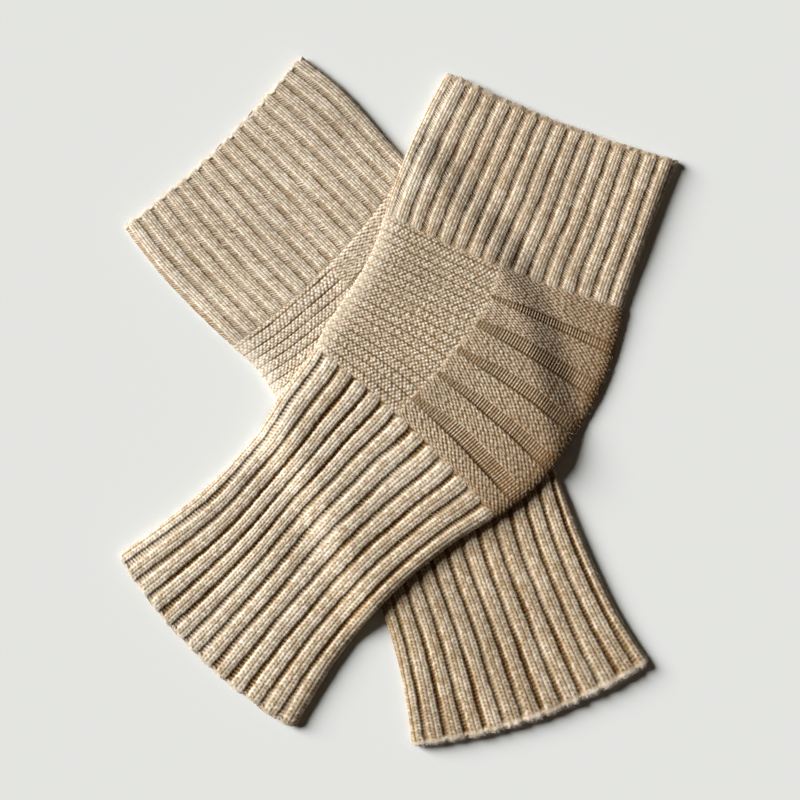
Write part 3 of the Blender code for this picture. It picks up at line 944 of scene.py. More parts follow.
@dataclass(frozen=True)
class GarterStitches:
    """Garter ridges: rows of purl bumps with a thin broken valley between the ridges.

    The knots tell which valley lies at which measured ridge. The valleys fade out towards the kneecap.
    """

    bumps: PurlBumps
    lightness: float
    ridge_knots: tuple[float, ...] = (0.4, 1.6, 5.75, 8.45, 10.3, 16.0)
    valley_knots: tuple[float, ...] = (0.0, 1.0, 5.0, 8.0, 10.0, 16.0)
    height: float = 0.7
    valley_width: float = 0.06
    valley_depth: float = 0.45
    valley_tone: float = 0.5
    dash_stitches: float = 3.0
    unbroken: float = 0.65
    breaks: float = 0.6
    stitches: float = 57.0
    bend: float = 0.1
    bend_stitches: float = 9.0
    sag: float = 0.25
    sag_middle: float = 0.3
    fade_from: float = 0.38
    fade: float = 0.14
    fold_reach: float = 0.1
    fold_softness: float = 0.5
    fold_tone: float = 0.62

    def field(self, ridges: Array, shares: Array) -> StitchField:
        """Works out the stitches.

        Args:
            ridges: measured ridges counted along the knee, for each row and column.
            shares: places round the warmer, for each row and column.

        Returns:
            The stitches' relief and tone.
        """
        stitches = shares * self.stitches
        ridge = self._bent(ridges, shares, stitches)
        bumps = self.bumps.field(ridge, stitches)
        dashes = stitches / self.dash_stitches
        broken = self.bumps.unevenness.between(dashes, np.round(ridge) + VALLEY_DRAW)
        broken = np.clip(self.unbroken + self.breaks * broken, 0.0, 1.0)
        broken = broken * (1.0 - smooth((shares - self.fade_from) / self.fade))
        apart = (ridge + 0.5) % 1.0 - 0.5
        valley = np.exp(-((apart / self.valley_width) ** 2)) * broken
        kept = 1.0 - self.fold_softness * (1.0 - smooth(shares / self.fold_reach))
        relief = self.height + kept * (bumps.relief - self.valley_depth * valley)
        tone = bumps.tone * (1.0 - self.valley_tone * valley)
        return StitchField(relief, self.lightness * (self.fold_tone + kept * (tone - self.fold_tone)))

    def _bent(self, ridges: Array, shares: Array, stitches: Array) -> Array:
        """Counts the valleys, which sag a little and wander.

        Args:
            ridges: measured ridges counted along the knee.
            shares: places round the warmer.
            stitches: stitches counted across.

        Returns:
            The count of valleys at each point.
        """
        start = np.interp(ridges, self.ridge_knots, self.valley_knots)
        before = np.minimum(ridges - self.ridge_knots[0], 0.0)
        after = np.maximum(ridges - self.ridge_knots[-1], 0.0)
        one_row = np.full(stitches.shape, WANDER_DRAW)
        wander = self.bumps.unevenness.between(stitches / self.bend_stitches, one_row)
        return start + before + after + self.bend * wander - self.sag * (shares - self.sag_middle) ** 2


@dataclass(frozen=True)
class KnitBand:
    """One recessed band of the kneecap: where its upper and lower edges lie, in garter ridges."""

    upper: float
    lower: float


BANDS = (
    KnitBand(2.55, 3.4),
    KnitBand(5.5, 6.75),
    KnitBand(8.5, 9.5),
    KnitBand(11.25, 12.25),
    KnitBand(14.05, 15.2),
)


@dataclass(frozen=True)
class BandRims:
    """The painted shade lines inside the two edges of a band: where they lie, in ridges, and what they take
    away.
    """

    low_at: float = 0.06
    low_reach: float = 0.2
    low_shade: float = 0.45
    low_depth: float = 0.3
    high_at: float = 0.1
    high_reach: float = 0.22
    high_shade: float = 0.4
    high_first: float = 0.9
    high_step: float = 0.2


@dataclass(frozen=True)
class BandLegs:
    """The knit stitches' legs in a band, and the plainer ones where the band starts."""

    count: float = 88.0
    lean: float = 0.3
    relief: float = 0.6
    change: float = 0.15
    floor: float = -0.25
    ground_tone: float = 0.08
    leg_tone: float = 0.9
    between_tone: float = 0.62
    start_ground: float = 0.26
    start_leg: float = 0.3


@dataclass(frozen=True)
class WeltStitches:
    """The kneecap: welts of purl bumps with recessed bands of knit between them."""

    bumps: PurlBumps
    lightness: float
    bands: tuple[KnitBand, ...] = BANDS
    rims: BandRims = BandRims()
    legs: BandLegs = BandLegs()
    height: float = 1.1
    edge: float = 0.16
    course: float = 0.31
    start_share: float = 0.44
    full_share: float = 0.66
    start_narrowing: float = 0.5
    start_depth: float = 0.2
    stitches: float = 44.0
    welt_edge: float = 0.25
    welt_edge_tone: float = 0.15
    shade_from: float = 0.55
    shade_full: float = 1.0
    shade: float = 0.2
    ripple: float = 0.06
    ripple_stitches: float = 5.0
    ripple_ridges: float = 3.0
    bands_stop: float = 1.2
    stop_blend: float = 0.08
    fold_from: float = 0.86
    fold_full: float = 0.98
    fold_height: float = 0.75

    def field(self, ridges: Array, shares: Array) -> StitchField:
        """Works out the stitches.

        Args:
            ridges: measured ridges counted along the knee, for each row and column.
            shares: places round the warmer, for each row and column.

        Returns:
            The stitches' relief and tone.
        """
        stitches = shares * self.stitches
        ripple_id = np.round(ridges / self.ripple_ridges) + WANDER_DRAW
        wander = self.bumps.unevenness.between(stitches / self.ripple_stitches, ripple_id)
        ridge = ridges + self.ripple * wander
        bumps = self.bumps.field(ridge / self.course, stitches)
        opened = smooth((shares - self.start_share) / (self.full_share - self.start_share))
        in_band, low_rim, high_rim = self._bands(ridge, opened)
        in_band = in_band * (1.0 - smooth((shares - self.bands_stop) / self.stop_blend))
        knit = self._legs(ridge, shares, opened, low_rim, high_rim)
        at_fold = smooth((shares - self.fold_from) / (self.fold_full - self.fold_from))
        welt = self.height + bumps.relief + at_fold * (self.fold_height - self.height)
        recessed = in_band * (1.0 - at_fold) * (self.start_depth + (1.0 - self.start_depth) * opened)
        relief = recessed * knit.relief + (1.0 - recessed) * welt
        welt_tone = bumps.tone + self.welt_edge_tone * bump(in_band, self.welt_edge, self.welt_edge)
        # Painted shade: the kneecap is painted darker towards its fold.
        shade = self.shade * smooth((shares - self.shade_from) / (self.shade_full - self.shade_from))
        tone = in_band * knit.tone + (1.0 - in_band) * welt_tone
        return StitchField(relief, self.lightness * (1.0 - shade) * tone)

    def _bands(self, ridge: Array, opened: Array) -> tuple[Array, Array, Array]:
        """Places the bands.

        Args:
            ridge: ridges counted along the knee.
            opened: how far the bands have opened to their full width.

        Returns:
            How far each point is in a band, on its lower rim and on its upper rim.
        """
        rims = self.rims
        in_band = np.zeros(ridge.shape)
        low_rim = np.zeros(ridge.shape)
        high_rim = np.zeros(ridge.shape)
        for number, band in enumerate(self.bands):
            upper = band.upper + self.start_narrowing * (1.0 - opened)
            inside = np.minimum(ridge - upper, band.lower - ridge)
            in_band = np.maximum(in_band, smooth(0.5 + inside / self.edge))
            low_rim = np.maximum(low_rim, bump(ridge, band.lower - rims.low_at, rims.low_reach))
            strength = rims.high_first - rims.high_step * number
            high_rim = np.maximum(high_rim, strength * bump(ridge, upper + rims.high_at, rims.high_reach))
        return in_band, low_rim, high_rim

    def _legs(
        self, ridge: Array, shares: Array, opened: Array, low_rim: Array, high_rim: Array
    ) -> StitchField:
        """Works out the knit stitches of the bands.

        Args:
            ridge: ridges counted along the knee.
            shares: places round the warmer.
            opened: how far the bands have opened to their full width.
            low_rim: how far each point is on a lower rim.
            high_rim: how far each point is on an upper rim.

        Returns:
            The legs' relief and tone.
        """
        legs = self.legs
        turn = shares * legs.count + legs.lean * ridge
        band_id = np.round(ridge / self.ripple_ridges) + BAND_DRAW
        uneven = self.bumps.unevenness.at(np.floor(turn) + LEG_DRAW, band_id)
        leg = np.sin(math.pi * turn) ** 2 * (1.0 + legs.change * uneven)
        cross = 0.5 + 0.5 * np.cos(2.0 * math.pi * ridge / self.course)
        relief = legs.floor + legs.relief * (leg - 0.5) - self.rims.low_depth * low_rim
        tone = legs.ground_tone + legs.leg_tone * leg * (
            legs.between_tone + (1.0 - legs.between_tone) * cross
        )
        # Painted shade along the insides of the band's edges.
        tone = tone * (1.0 - self.rims.low_shade * low_rim) * (1.0 - self.rims.high_shade * high_rim)
        start_tone = legs.start_ground + legs.start_leg * leg
        return StitchField(relief, opened * tone + (1.0 - opened) * start_tone)


# ---- finishes --------------------------------------------------------------------------------------------

Tree = bpy.types.NodeTree
Socket = bpy.types.NodeSocket
TONE = "tone"  # the name under which a mesh keeps the tone of its points
OPEN_TONE = 0.8  # the tone of a stitch that is fully open to the light, away from the folds
NOISE_LOW = 0.3  # nearly all of a noise's values lie between these two
NOISE_HIGH = 0.7


class VectorRange(IntEnum):
    """The sockets of a vector Map Range node, which share their names with the plain ones."""

    VECTOR = 6
    FROM_MIN = 7
    FROM_MAX = 8
    TO_MIN = 9
    TO_MAX = 10
    RESULT = 1


@dataclass(frozen=True)
class Blots:
    """Blots of noise in the yarn: how wide they are, how many finer octaves they have and how strong."""

    size: float
    detail: float
    strength: float

    def noise(self, tree: Tree, place: Socket) -> bpy.types.Node:
        """Adds the noise.

        Args:
            tree: the material's nodes.
            place: the object's coordinates.

        Returns:
            The noise's node.
        """
        noise = tree.nodes.new("ShaderNodeTexNoise")
        noise.inputs["Scale"].default_value = 1.0 / (self.size * MM)
        noise.inputs["Detail"].default_value = self.detail
        tree.links.new(place, noise.inputs["Vector"])
        return noise

    def shaded(self, tree: Tree, place: Socket, colour: Socket) -> Socket:
        """Makes a colour lighter and darker in blots.

        Args:
            tree: the material's nodes.
            place: the object's coordinates.
            colour: the colour to change.

        Returns:
            The shaded colour.
        """
        spread = tree.nodes.new("ShaderNodeMapRange")
        spread.inputs["From Min"].default_value = NOISE_LOW
        spread.inputs["From Max"].default_value = NOISE_HIGH
        spread.inputs["To Min"].default_value = 1.0 - self.strength
        spread.inputs["To Max"].default_value = 1.0 + self.strength
        tree.links.new(self.noise(tree, place).outputs["Fac"], spread.inputs["Value"])
        scaled = tree.nodes.new("ShaderNodeVectorMath")
        scaled.operation = "SCALE"
        tree.links.new(colour, scaled.inputs[0])
        tree.links.new(spread.outputs["Result"], scaled.inputs["Scale"])
        return scaled.outputs["Vector"]

    def tinted(self, tree: Tree, place: Socket, colour: Socket) -> Socket:
        """Adds faint pink, green and blue blots of heather to a colour.

        Args:
            tree: the material's nodes.
            place: the object's coordinates.
            colour: the colour to change.

        Returns:
            The tinted colour.
        """
        spread = tree.nodes.new("ShaderNodeMapRange")
        spread.data_type = "FLOAT_VECTOR"
        spread.inputs[VectorRange.FROM_MIN].default_value = (NOISE_LOW,) * 3
        spread.inputs[VectorRange.FROM_MAX].default_value = (NOISE_HIGH,) * 3
        spread.inputs[VectorRange.TO_MIN].default_value = (1.0 - self.strength,) * 3
        spread.inputs[VectorRange.TO_MAX].default_value = (1.0 + self.strength,) * 3
        noise = self.noise(tree, place).outputs["Color"]
        tree.links.new(noise, spread.inputs[VectorRange.VECTOR])
        product = tree.nodes.new("ShaderNodeVectorMath")
        product.operation = "MULTIPLY"
        tree.links.new(colour, product.inputs[0])
        tree.links.new(spread.outputs[VectorRange.RESULT], product.inputs[1])
        return product.outputs["Vector"]


@dataclass(frozen=True)
class ToneStop:
    """A colour of the yarn at one tone."""

    tone: float
    colour: tuple[float, float, float]


@dataclass(frozen=True)
class YarnFinish:
    """Oatmeal wool, its colour following the tone: painted shade between the stitches, painted light on top
    of them, with flecks and a soft nap.
    """

    name: str
    stops: tuple[ToneStop, ...]
    flecks: Blots = Blots(1.0, 2.0, 0.16)
    clouds: Blots = Blots(38.0, 1.0, 0.1)
    heather: Blots = Blots(2.0, 2.0, 0.06)
    fibres: Blots = Blots(0.45, 3.0, 1.0)
    fibre_depth: float = 0.12
    roughness: float = 0.88
    sheen: float = 0.22
    sheen_roughness: float = 0.5
    specular: float = 0.18

    def material(self) -> bpy.types.Material:
        """Makes the yarn's material, whose colour follows the stitches' tone.

        Returns:
            The material.
        """
        material = bpy.data.materials.new(self.name)
        material.use_nodes = True
        tree = material.node_tree
        shader = tree.nodes["Principled BSDF"]
        shader.inputs["Roughness"].default_value = self.roughness
        shader.inputs["Specular IOR Level"].default_value = self.specular
        shader.inputs["Sheen Weight"].default_value = self.sheen
        shader.inputs["Sheen Roughness"].default_value = self.sheen_roughness
        place = tree.nodes.new("ShaderNodeTexCoord").outputs["Object"]
        colour = self.flecks.shaded(tree, place, self._tone_colour(tree))
        colour = self.clouds.shaded(tree, place, colour)
        colour = self.heather.tinted(tree, place, colour)
        tree.links.new(colour, shader.inputs["Base Color"])
        raised = tree.nodes.new("ShaderNodeBump")
        raised.inputs["Strength"].default_value = self.fibres.strength
        raised.inputs["Distance"].default_value = self.fibre_depth * MM
        tree.links.new(self.fibres.noise(tree, place).outputs["Fac"], raised.inputs["Height"])
        tree.links.new(raised.outputs["Normal"], shader.inputs["Normal"])
        return material

    def _tone_colour(self, tree: Tree) -> Socket:
        """Adds the ramp that turns the stitches' tone into the yarn's colour.

        Args:
            tree: the material's nodes.

        Returns:
            The colour.
        """
        tone = tree.nodes.new("ShaderNodeAttribute")
        tone.attribute_name = TONE
        ramp = tree.nodes.new("ShaderNodeValToRGB")
        elements = ramp.color_ramp.elements
        for stop in self.stops[2:]:
            elements.new(stop.tone)
        for element, stop in zip(sorted(elements, key=lambda e: e.position), self.stops):
            element.position = stop.tone
            element.color = (*stop.colour, 1.0)
        tree.links.new(tone.outputs["Fac"], ramp.inputs["Fac"])
        return ramp.outputs["Color"]


# The yarn's colour at each tone: the low tones are painted shade, the high ones the lit yarn.
OATMEAL = (
    ToneStop(0.0, (0.085, 0.034, 0.009)),
    ToneStop(0.24, (0.2, 0.111, 0.042)),
    ToneStop(0.34, (0.315, 0.218, 0.124)),
    ToneStop(0.5, (0.5, 0.4, 0.284)),
    ToneStop(0.8, (0.86, 0.775, 0.645)),
    ToneStop(1.0, (1.0, 0.93, 0.82)),
)
# The same yarn, with browner painted shade in its low tones.
BROWN_SHADE_OATMEAL = (
    ToneStop(0.0, (0.075, 0.028, 0.006)),
    ToneStop(0.24, (0.2, 0.104, 0.034)),
    ToneStop(0.34, (0.315, 0.213, 0.106)),
    *OATMEAL[3:],
)
LOOSE_FIBRE = (
    ToneStop(0.0, (0.5, 0.43, 0.36)),
    ToneStop(0.6, (0.88, 0.82, 0.76)),
    ToneStop(1.0, (1.0, 0.96, 0.92)),
)


@dataclass(frozen=True)
class PaleTop:
    """The plain pale surface that the pair lies on."""

    colour: tuple[float, float, float] = (0.8, 0.83, 0.832)
    roughness: float = 0.9
    specular: float = 0.1

    def material(self) -> bpy.types.Material:
        """Makes the surface's material.

        Returns:
            The material.
        """
        material = bpy.data.materials.new("pale_table")
        material.use_nodes = True
        shader = material.node_tree.nodes["Principled BSDF"]
        shader.inputs["Base Color"].default_value = (*self.colour, 1.0)
        shader.inputs["Roughness"].default_value = self.roughness
        shader.inputs["Specular IOR Level"].default_value = self.specular
        return material


# ---- pieces ----------------------------------------------------------------------------------------------

INSIDE_TONE = 0.35  # painted shade on the plain inner face
UNDERSIDE_TONE = 0.55  # painted shade on the plain lower face
UNDER_FOLD_SHADE = 0.5  # painted shade: how much darker the cloth is painted just under the fold that faces the light
FADE_HEIGHT = 0.5 * TUBE.height  # the stitches fade out below this height, down to the plain underside
JOIN_HEIGHT = 0.5  # how far the knee's stitches stand out where they meet the ribs
LINE_HEIGHT = 0.9  # how far they stand out along the line where the short rows end
JOIN_BLEND = 2.0
PAST_FOLD = 0.02  # stitches reach this far past a fold, as a share
FOLD_SHARE = 0.1
FOLD_COLUMNS = 4
FLAT_COLUMNS = 5
INNER_ROWS = 24
NO_ZERO = 1e-12  # keeps lengths that are divided by above zero


def add_to_scene(name: str, data: bpy.types.ID) -> bpy.types.Object:
    """Makes an object and links it to the scene.

    Args:
        name: the object's name.
        data: its mesh, light or camera.

    Returns:
        The object.
    """
    made = bpy.data.objects.new(name, data)
    bpy.context.scene.collection.objects.link(made)
    return made


def write_tone(mesh: bpy.types.Mesh, tone: Array) -> None:
    """Keeps the tone of each point with a mesh."""
    layer = mesh.attributes.new(TONE, "FLOAT", "POINT")
    layer.data.foreach_set("value", tone.astype(np.float32))


@dataclass(frozen=True)
class Face:
    """One face of a wall: a grid of points in metres, with rising keys for its rows and its columns."""

    points: Array
    rows: Array
    columns: Array

    def numbers(self, first: int) -> Array:
        """Returns the grid of the points' numbers, counted from the first."""
        shape = self.points.shape[:2]
        return first + np.arange(math.prod(shape)).reshape(shape)


@dataclass
class Wall:
    """A closed wall of cloth between a detailed outer face and a plain inner face.

    The hem is the row of the outer face that is free: 0, -1 or none of them.
    """

    name: str
    outer: Face
    inner: Face
    tone: Array
    closed: bool
    hem: int | None = None

    def build(self, material: bpy.types.Material) -> bpy.types.Object:
        """Makes the mesh.

        Args:
            material: the cloth's material.

        Returns:
            The object, linked to the scene.
        """
        outer_ids = self.outer.numbers(0)
        inner_ids = self.inner.numbers(outer_ids.size)
        faces = self._grid(outer_ids) + self._grid(inner_ids) + self._rims(outer_ids, inner_ids)
        points = np.concatenate([self.outer.points.reshape(-1, 3), self.inner.points.reshape(-1, 3)])
        mesh = bpy.data.meshes.new(self.name)
        mesh.from_pydata(points.tolist(), [], faces)
        body = bmesh.new()
        body.from_mesh(mesh)
        bmesh.ops.recalc_face_normals(body, faces=body.faces)
        if body.calc_volume(signed=True) < 0.0:
            bmesh.ops.reverse_faces(body, faces=body.faces)
        body.to_mesh(mesh)
        body.free()
        mesh.shade_smooth()
        self._sharpen(mesh, outer_ids)
        tone = OPEN_TONE * np.concatenate([self.tone.ravel(), np.full(inner_ids.size, INSIDE_TONE)])
        write_tone(mesh, np.clip(tone, 0.0, 1.0))
        mesh.materials.append(material)
        return add_to_scene(self.name, mesh)

    def _sharpen(self, mesh: bpy.types.Mesh, ids: Array) -> None:
        """Keeps the edges crisp where the wall meets another one, so that no dark line shows there.

        Args:
            mesh: the wall's mesh.
            ids: the grid of the outer face's point numbers.
        """
        rows = [row for row in (0, -1) if row != self.hem]
        meeting = set(ids[rows].ravel().tolist())
        if not self.closed:
            meeting |= set(ids[:, [0, -1]].ravel().tolist())
        for edge in mesh.edges:
            edge.use_edge_sharp = edge.vertices[0] in meeting and edge.vertices[1] in meeting

    def _grid(self, ids: Array) -> list[list[int]]:
        """Covers a grid of points.

        Args:
            ids: the grid of point numbers.

        Returns:
            Its four-sided faces.
        """
        ring = np.hstack([ids, ids[:, :1]]) if self.closed else ids
        corners = [ring[:-1, :-1], ring[1:, :-1], ring[1:, 1:], ring[:-1, 1:]]
        return np.stack(corners, axis=-1).reshape(-1, 4).tolist()

    def _rims(self, outer_ids: Array, inner_ids: Array) -> list[tuple[int, ...]]:
        """Joins the outer face to the inner one along their edges.

        Args:
            outer_ids: the grid of the outer face's point numbers.
            inner_ids: the grid of the inner face's point numbers.

        Returns:
            The joining faces.
        """
        faces = []
        outer_keys, inner_keys = self.outer.columns, self.inner.columns
        if self.closed:
            outer_keys = np.append(outer_keys, outer_keys[0] + 2.0)
            inner_keys = np.append(inner_keys, inner_keys[0] + 2.0)
        for end in (0, -1):
            outer_ring, inner_ring = outer_ids[end], inner_ids[end]
            if self.closed:
                outer_ring = np.append(outer_ring, outer_ring[0])
                inner_ring = np.append(inner_ring, inner_ring[0])
            else:
                outer_side, inner_side = outer_ids[:, end], inner_ids[:, end]
                faces += zip_faces(outer_side, self.outer.rows, inner_side, self.inner.rows)
            faces += zip_faces(outer_ring, outer_keys, inner_ring, inner_keys)
        return faces


def zip_faces(first: Array, first_keys: Array, second: Array, second_keys: Array) -> list[tuple[int, ...]]:
    """Joins two runs of points with matching ends by triangles.

    Args:
        first: point numbers of one run.
        first_keys: their rising keys.
        second: point numbers of the other run.
        second_keys: their rising keys.

    Returns:
        The triangles.
    """
    faces = []
    i = j = 0
    while i < len(first) - 1 or j < len(second) - 1:
        first_is_next = i < len(first) - 1 and (
            j == len(second) - 1 or first_keys[i + 1] <= second_keys[j + 1]
        )
        if first_is_next:
            faces.append((int(first[i]), int(first[i + 1]), int(second[j])))
            i += 1
        else:
            faces.append((int(first[i]), int(second[j + 1]), int(second[j])))
            j += 1
    return faces


def plain_shares(start: float, end: float) -> Array:
    """Spreads the points of a plain face round the tube, closer at the folds.

    Args:
        start: the share where the face starts.
        end: the share where it ends.

    Returns:
        The shares of its points.
    """
    fold = np.linspace(-FOLD_SHARE, FOLD_SHARE, 2 * FOLD_COLUMNS + 1)
    flat = np.linspace(FOLD_SHARE, 1.0 - FOLD_SHARE, FLAT_COLUMNS + 1)[1:-1]
    near = np.concatenate([np.concatenate([fold, flat]) + side for side in (-1.0, 0.0, 1.0, 2.0)])
    kept = near[(near > start + PAST_FOLD) & (near < end - PAST_FOLD)]
    return np.concatenate([[start], kept, [end]])


@dataclass(frozen=True)
class FoldLight:
    """Painted light at the folds: a painted highlight on the garter-side fold, which faces the light,
    painted shade just under it and along its very edge, and painted shade at the kneecap-side fold.
    """

    gain: float = 0.3
    reach: float = 0.12
    loss: float = 0.0
    loss_reach: float = 0.1
    edge_loss: float = 0.16
    edge_reach: float = 0.022
    edge_full: float = 1.5

    def at(self, shares: Array) -> Array:
        """Works out what the folds do to the tone.

        Args:
            shares: places round the tube.

        Returns:
            The factor on the tone at each place.
        """
        place = (shares + 1.0) % 2.0 - 1.0
        left = smooth(1.0 - np.abs(place) / self.reach)
        left = left * np.where(place < -PAST_FOLD, -UNDER_FOLD_SHADE, self.gain)
        edge = self.edge_loss * smooth(self.edge_full - np.abs(place) / self.edge_reach)
        right = smooth(1.0 - np.abs(shares - 1.0) / self.loss_reach)
        return (1.0 + left - self.loss * right) * (1.0 - edge)


@dataclass(frozen=True)
class FoldFullness:
    """How much fuller or flatter a warmer lies towards its kneecap-side fold, at places along it."""

    places: tuple[float, ...] = (0.0,)
    changes: tuple[float, ...] = (0.0,)

    def at(self, along: Array, across: Array) -> Array:
        """Returns the factor on the height at distances along and shares of the half width across."""
        return 1.0 + np.interp(along, self.places, self.changes) * smooth(across)


@dataclass(frozen=True)
class Nap:
    """Loose fibres along a hem, at the fold that faces the light and here and there on the upper face.

    A lean says how strongly fibres point out from the cloth or the hem, and a scatter how far they stray.
    """

    seed: int
    at_hem: int = 1500
    at_fold: int = 500
    on_face: int = 1200
    face_lean: float = 0.35
    fold_lean: float = 1.2
    hem_lean: float = 0.8
    scatter: tuple[float, float, float] = (0.7, 0.7, 0.1)
    hem_scatter: tuple[float, float, float] = (0.5, 0.5, 0.25)
    fold_width: float = 0.012
    hem_rows: int = 4
    hem_back: int = 6
    length: float = 1.5
    shortest: float = 0.5
    longest: float = 1.4
    width: float = 0.09
    taper: float = 0.7
    curl: float = 0.35
    curl_spread: tuple[float, float, float] = (1.0, 1.0, 0.3)
    bend_at: float = 0.55
    bend_curl: float = 0.2
    tone: float = 0.72
    darkest: float = 0.8
    lightest: float = 1.15
    lowest: float = 0.05

    def build(self, wall: Wall, columns: Array, material: bpy.types.Material) -> bpy.types.Object:
        """Makes the fibres of one stretch of cloth.

        Args:
            wall: the cloth that they stand on.
            columns: the share round the tube of each of its columns.
            material: the fibres' material.

        Returns:
            The fibres as one joined mesh, linked to the scene.
        """
        random = np.random.default_rng(self.seed)
        points = wall.outer.points
        up = np.cross(np.gradient(points, axis=1), np.gradient(points, axis=0))
        up /= np.linalg.norm(up, axis=-1)[..., None] + NO_ZERO
        middle = int(np.argmin(np.abs(columns % 2.0 - 0.5)))
        up *= np.sign(up[len(up) // 2, middle, 2])
        upper = np.flatnonzero((columns > 0.0) & (columns < 1.0))
        fold = np.flatnonzero(np.abs((columns + 1.0) % 2.0 - 1.0) < self.fold_width)
        groups = [self._spread(random, points, self.face_lean * up, upper, self.on_face)]
        if len(fold):
            groups.append(self._spread(random, points, self.fold_lean * up, fold, self.at_fold))
        if wall.hem is not None:
            groups.append(self._along_hem(random, points, wall.hem, upper))
        roots = np.concatenate([group[0] for group in groups])
        ways = np.concatenate([group[1] for group in groups])
        return self._mesh(f"{wall.name}_nap", roots, ways, random, material)

    def _spread(
        self, random: np.random.Generator, points: Array, out: Array, columns: Array, count: int
    ) -> tuple[Array, Array]:
        """Picks where fibres stand on the cloth.

        Args:
            random: where their differences come from.
            points: the cloth's outer points.
            out: the pull out from the cloth at each point.
            columns: the columns that fibres may stand on.
            count: how many fibres there are.

        Returns:
            The fibres' roots and the ways that they point.
        """
        row = random.integers(1, points.shape[0] - 1, count)
        column = random.choice(columns, count)
        way = random.normal(size=(count, 3)) * self.scatter + out[row, column]
        return points[row, column], way

    def _along_hem(
        self, random: np.random.Generator, points: Array, hem: int, columns: Array
    ) -> tuple[Array, Array]:
        """Picks where fibres stand along the hem.

        Args:
            random: where their differences come from.
            points: the cloth's outer points.
            hem: the row of the hem, 0 or -1.
            columns: the columns that fibres may stand on.

        Returns:
            The fibres' roots and the ways that they point.
        """
        column = random.choice(columns, self.at_hem)
        row = random.integers(0, self.hem_rows, self.at_hem)
        row = row if hem == 0 else -1 - row
        inside = self.hem_back if hem == 0 else -1 - self.hem_back
        out = points[hem, column] - points[inside, column]
        out /= np.linalg.norm(out, axis=1)[:, None]
        way = random.normal(size=(self.at_hem, 3)) * self.hem_scatter + self.hem_lean * out
        return points[row, column], way

    def _mesh(
        self,
        name: str,
        roots: Array,
        ways: Array,
        random: np.random.Generator,
        material: bpy.types.Material,
    ) -> bpy.types.Object:
        """Joins a thin tapered ribbon at each root into one mesh.

        Args:
            name: the mesh's name.
            roots: where the fibres start.
            ways: where they point.
            random: where their differences come from.
            material: their material.

        Returns:
            The fibres.
        """
        count = len(roots)
        ways = ways / np.linalg.norm(ways, axis=1)[:, None]
        length = self.length * MM * random.uniform(self.shortest, self.longest, (count, 1))
        side = np.cross(ways, (0.0, 0.0, 1.0))
        side *= self.width * MM / 2.0 / (np.linalg.norm(side, axis=1)[:, None] + NO_ZERO)
        curl = self.curl * length * random.normal(size=(count, 3)) * self.curl_spread
        bend = roots + self.bend_at * length * ways + self.bend_curl * curl
        tip = roots + length * ways + curl
        narrow = self.taper * side
        corners = np.stack([roots - side, roots + side, bend - narrow, bend + narrow, tip], axis=1)
        corners[..., 2] = np.maximum(corners[..., 2], self.lowest * MM)
        points = corners.shape[1]
        first = points * np.arange(count)[:, None]
        faces = np.concatenate([first + (0, 1, 3), first + (0, 3, 2), first + (2, 3, 4)])
        mesh = bpy.data.meshes.new(name)
        mesh.from_pydata(corners.reshape(-1, 3).tolist(), [], faces.tolist())
        tone = np.repeat(random.uniform(self.darkest, self.lightest, count), points)
        write_tone(mesh, OPEN_TONE * self.tone * tone)
        mesh.materials.append(material)
        return add_to_scene(name, mesh)


@dataclass(frozen=True)
class Stretch:
    """How one stretch is made: its stitches, how far apart its rows are modelled, its light and yarn."""

    stitches: RibStitches | GarterStitches | WeltStitches
    row_step: float
    light: FoldLight = FoldLight()
    yarn: tuple[ToneStop, ...] = OATMEAL


@dataclass(frozen=True)
class Cut:
    """The flat cut of a stretch, in millimetres, with its area where it isn't a rectangle."""

    width: float
    length: float
    area: float | None = None


@dataclass
class KnitPiece:
    """One stretch of knit, which stands for the solid of the same name."""

    warmer: str
    part: Part
    form: LaidForm
    nap: Nap
    fullness: FoldFullness
    stretch: Stretch

    @property
    def node(self) -> str:
        """Name of the solid."""
        return f"{self.warmer}_{self.part.value}"

    def face(
        self,
        places: Array,
        columns: Array,
        hem_shift: Array | float,
        relief: Array | None = None,
        scallop: Array | float = 0.0,
    ) -> Array:
        """Lays the outer face on the warmer's form, or the plain inner face where no relief is given.

        Args:
            places: distances along, one for each row.
            columns: shares round the tube, for each row and column.
            hem_shift: how far the lower layer is shifted along, for each row.
            relief: how far each point stands out.
            scallop: how far each point is shifted along.

        Returns:
            World points in metres.
        """
        inset = TUBE.wall if relief is None else 0.0
        thick = TUBE.hollow if relief is None else TUBE.height
        rolls = tuple(roll - inset for roll in TUBE.rolls)
        half = self.form.course(places)[3]
        offset = np.empty(columns.shape)
        height = np.empty(columns.shape)
        for i, shares in enumerate(columns):
            section = FlattenedSection(half[i] - TUBE.fold_rib - inset, thick, inset, rolls)
            offset[i], height[i], normal = section.at(shares)
            if relief is not None:
                raised = relief[i] * smooth(height[i] / FADE_HEIGHT)
                offset[i] += normal[:, 0] * raised
                height[i] += normal[:, 1] * raised
        along = np.repeat(places[:, None], columns.shape[1], axis=1) + scallop
        along += np.reshape(hem_shift, (-1, 1)) * (1.0 - smooth(height / TUBE.wall))
        full = self.fullness.at(along, offset / half[:, None])
        return self.form.points(along, offset, height * full) * MM

    def dress(self, wall: Wall, columns: Array, cut: Cut) -> list[bpy.types.Object]:
        """Builds the wall with its nap and puts it in its solid's place.

        Args:
            wall: the stretch's wall.
            columns: the share round the tube of each of its columns.
            cut: its flat cut; not used.

        Returns:
            The cloth and its loose fibres.
        """
        finish = YarnFinish(f"{self.node}_yarn", self.stretch.yarn)
        cloth = wall.build(finish.material())
        loose = replace(finish, name=f"{self.node}_nap_yarn", stops=LOOSE_FIBRE)
        fibres = self.nap.build(wall, columns, loose.material())
        for made in (cloth, fibres):
            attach(made, "root")
        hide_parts(self.node)
        return [cloth, fibres]


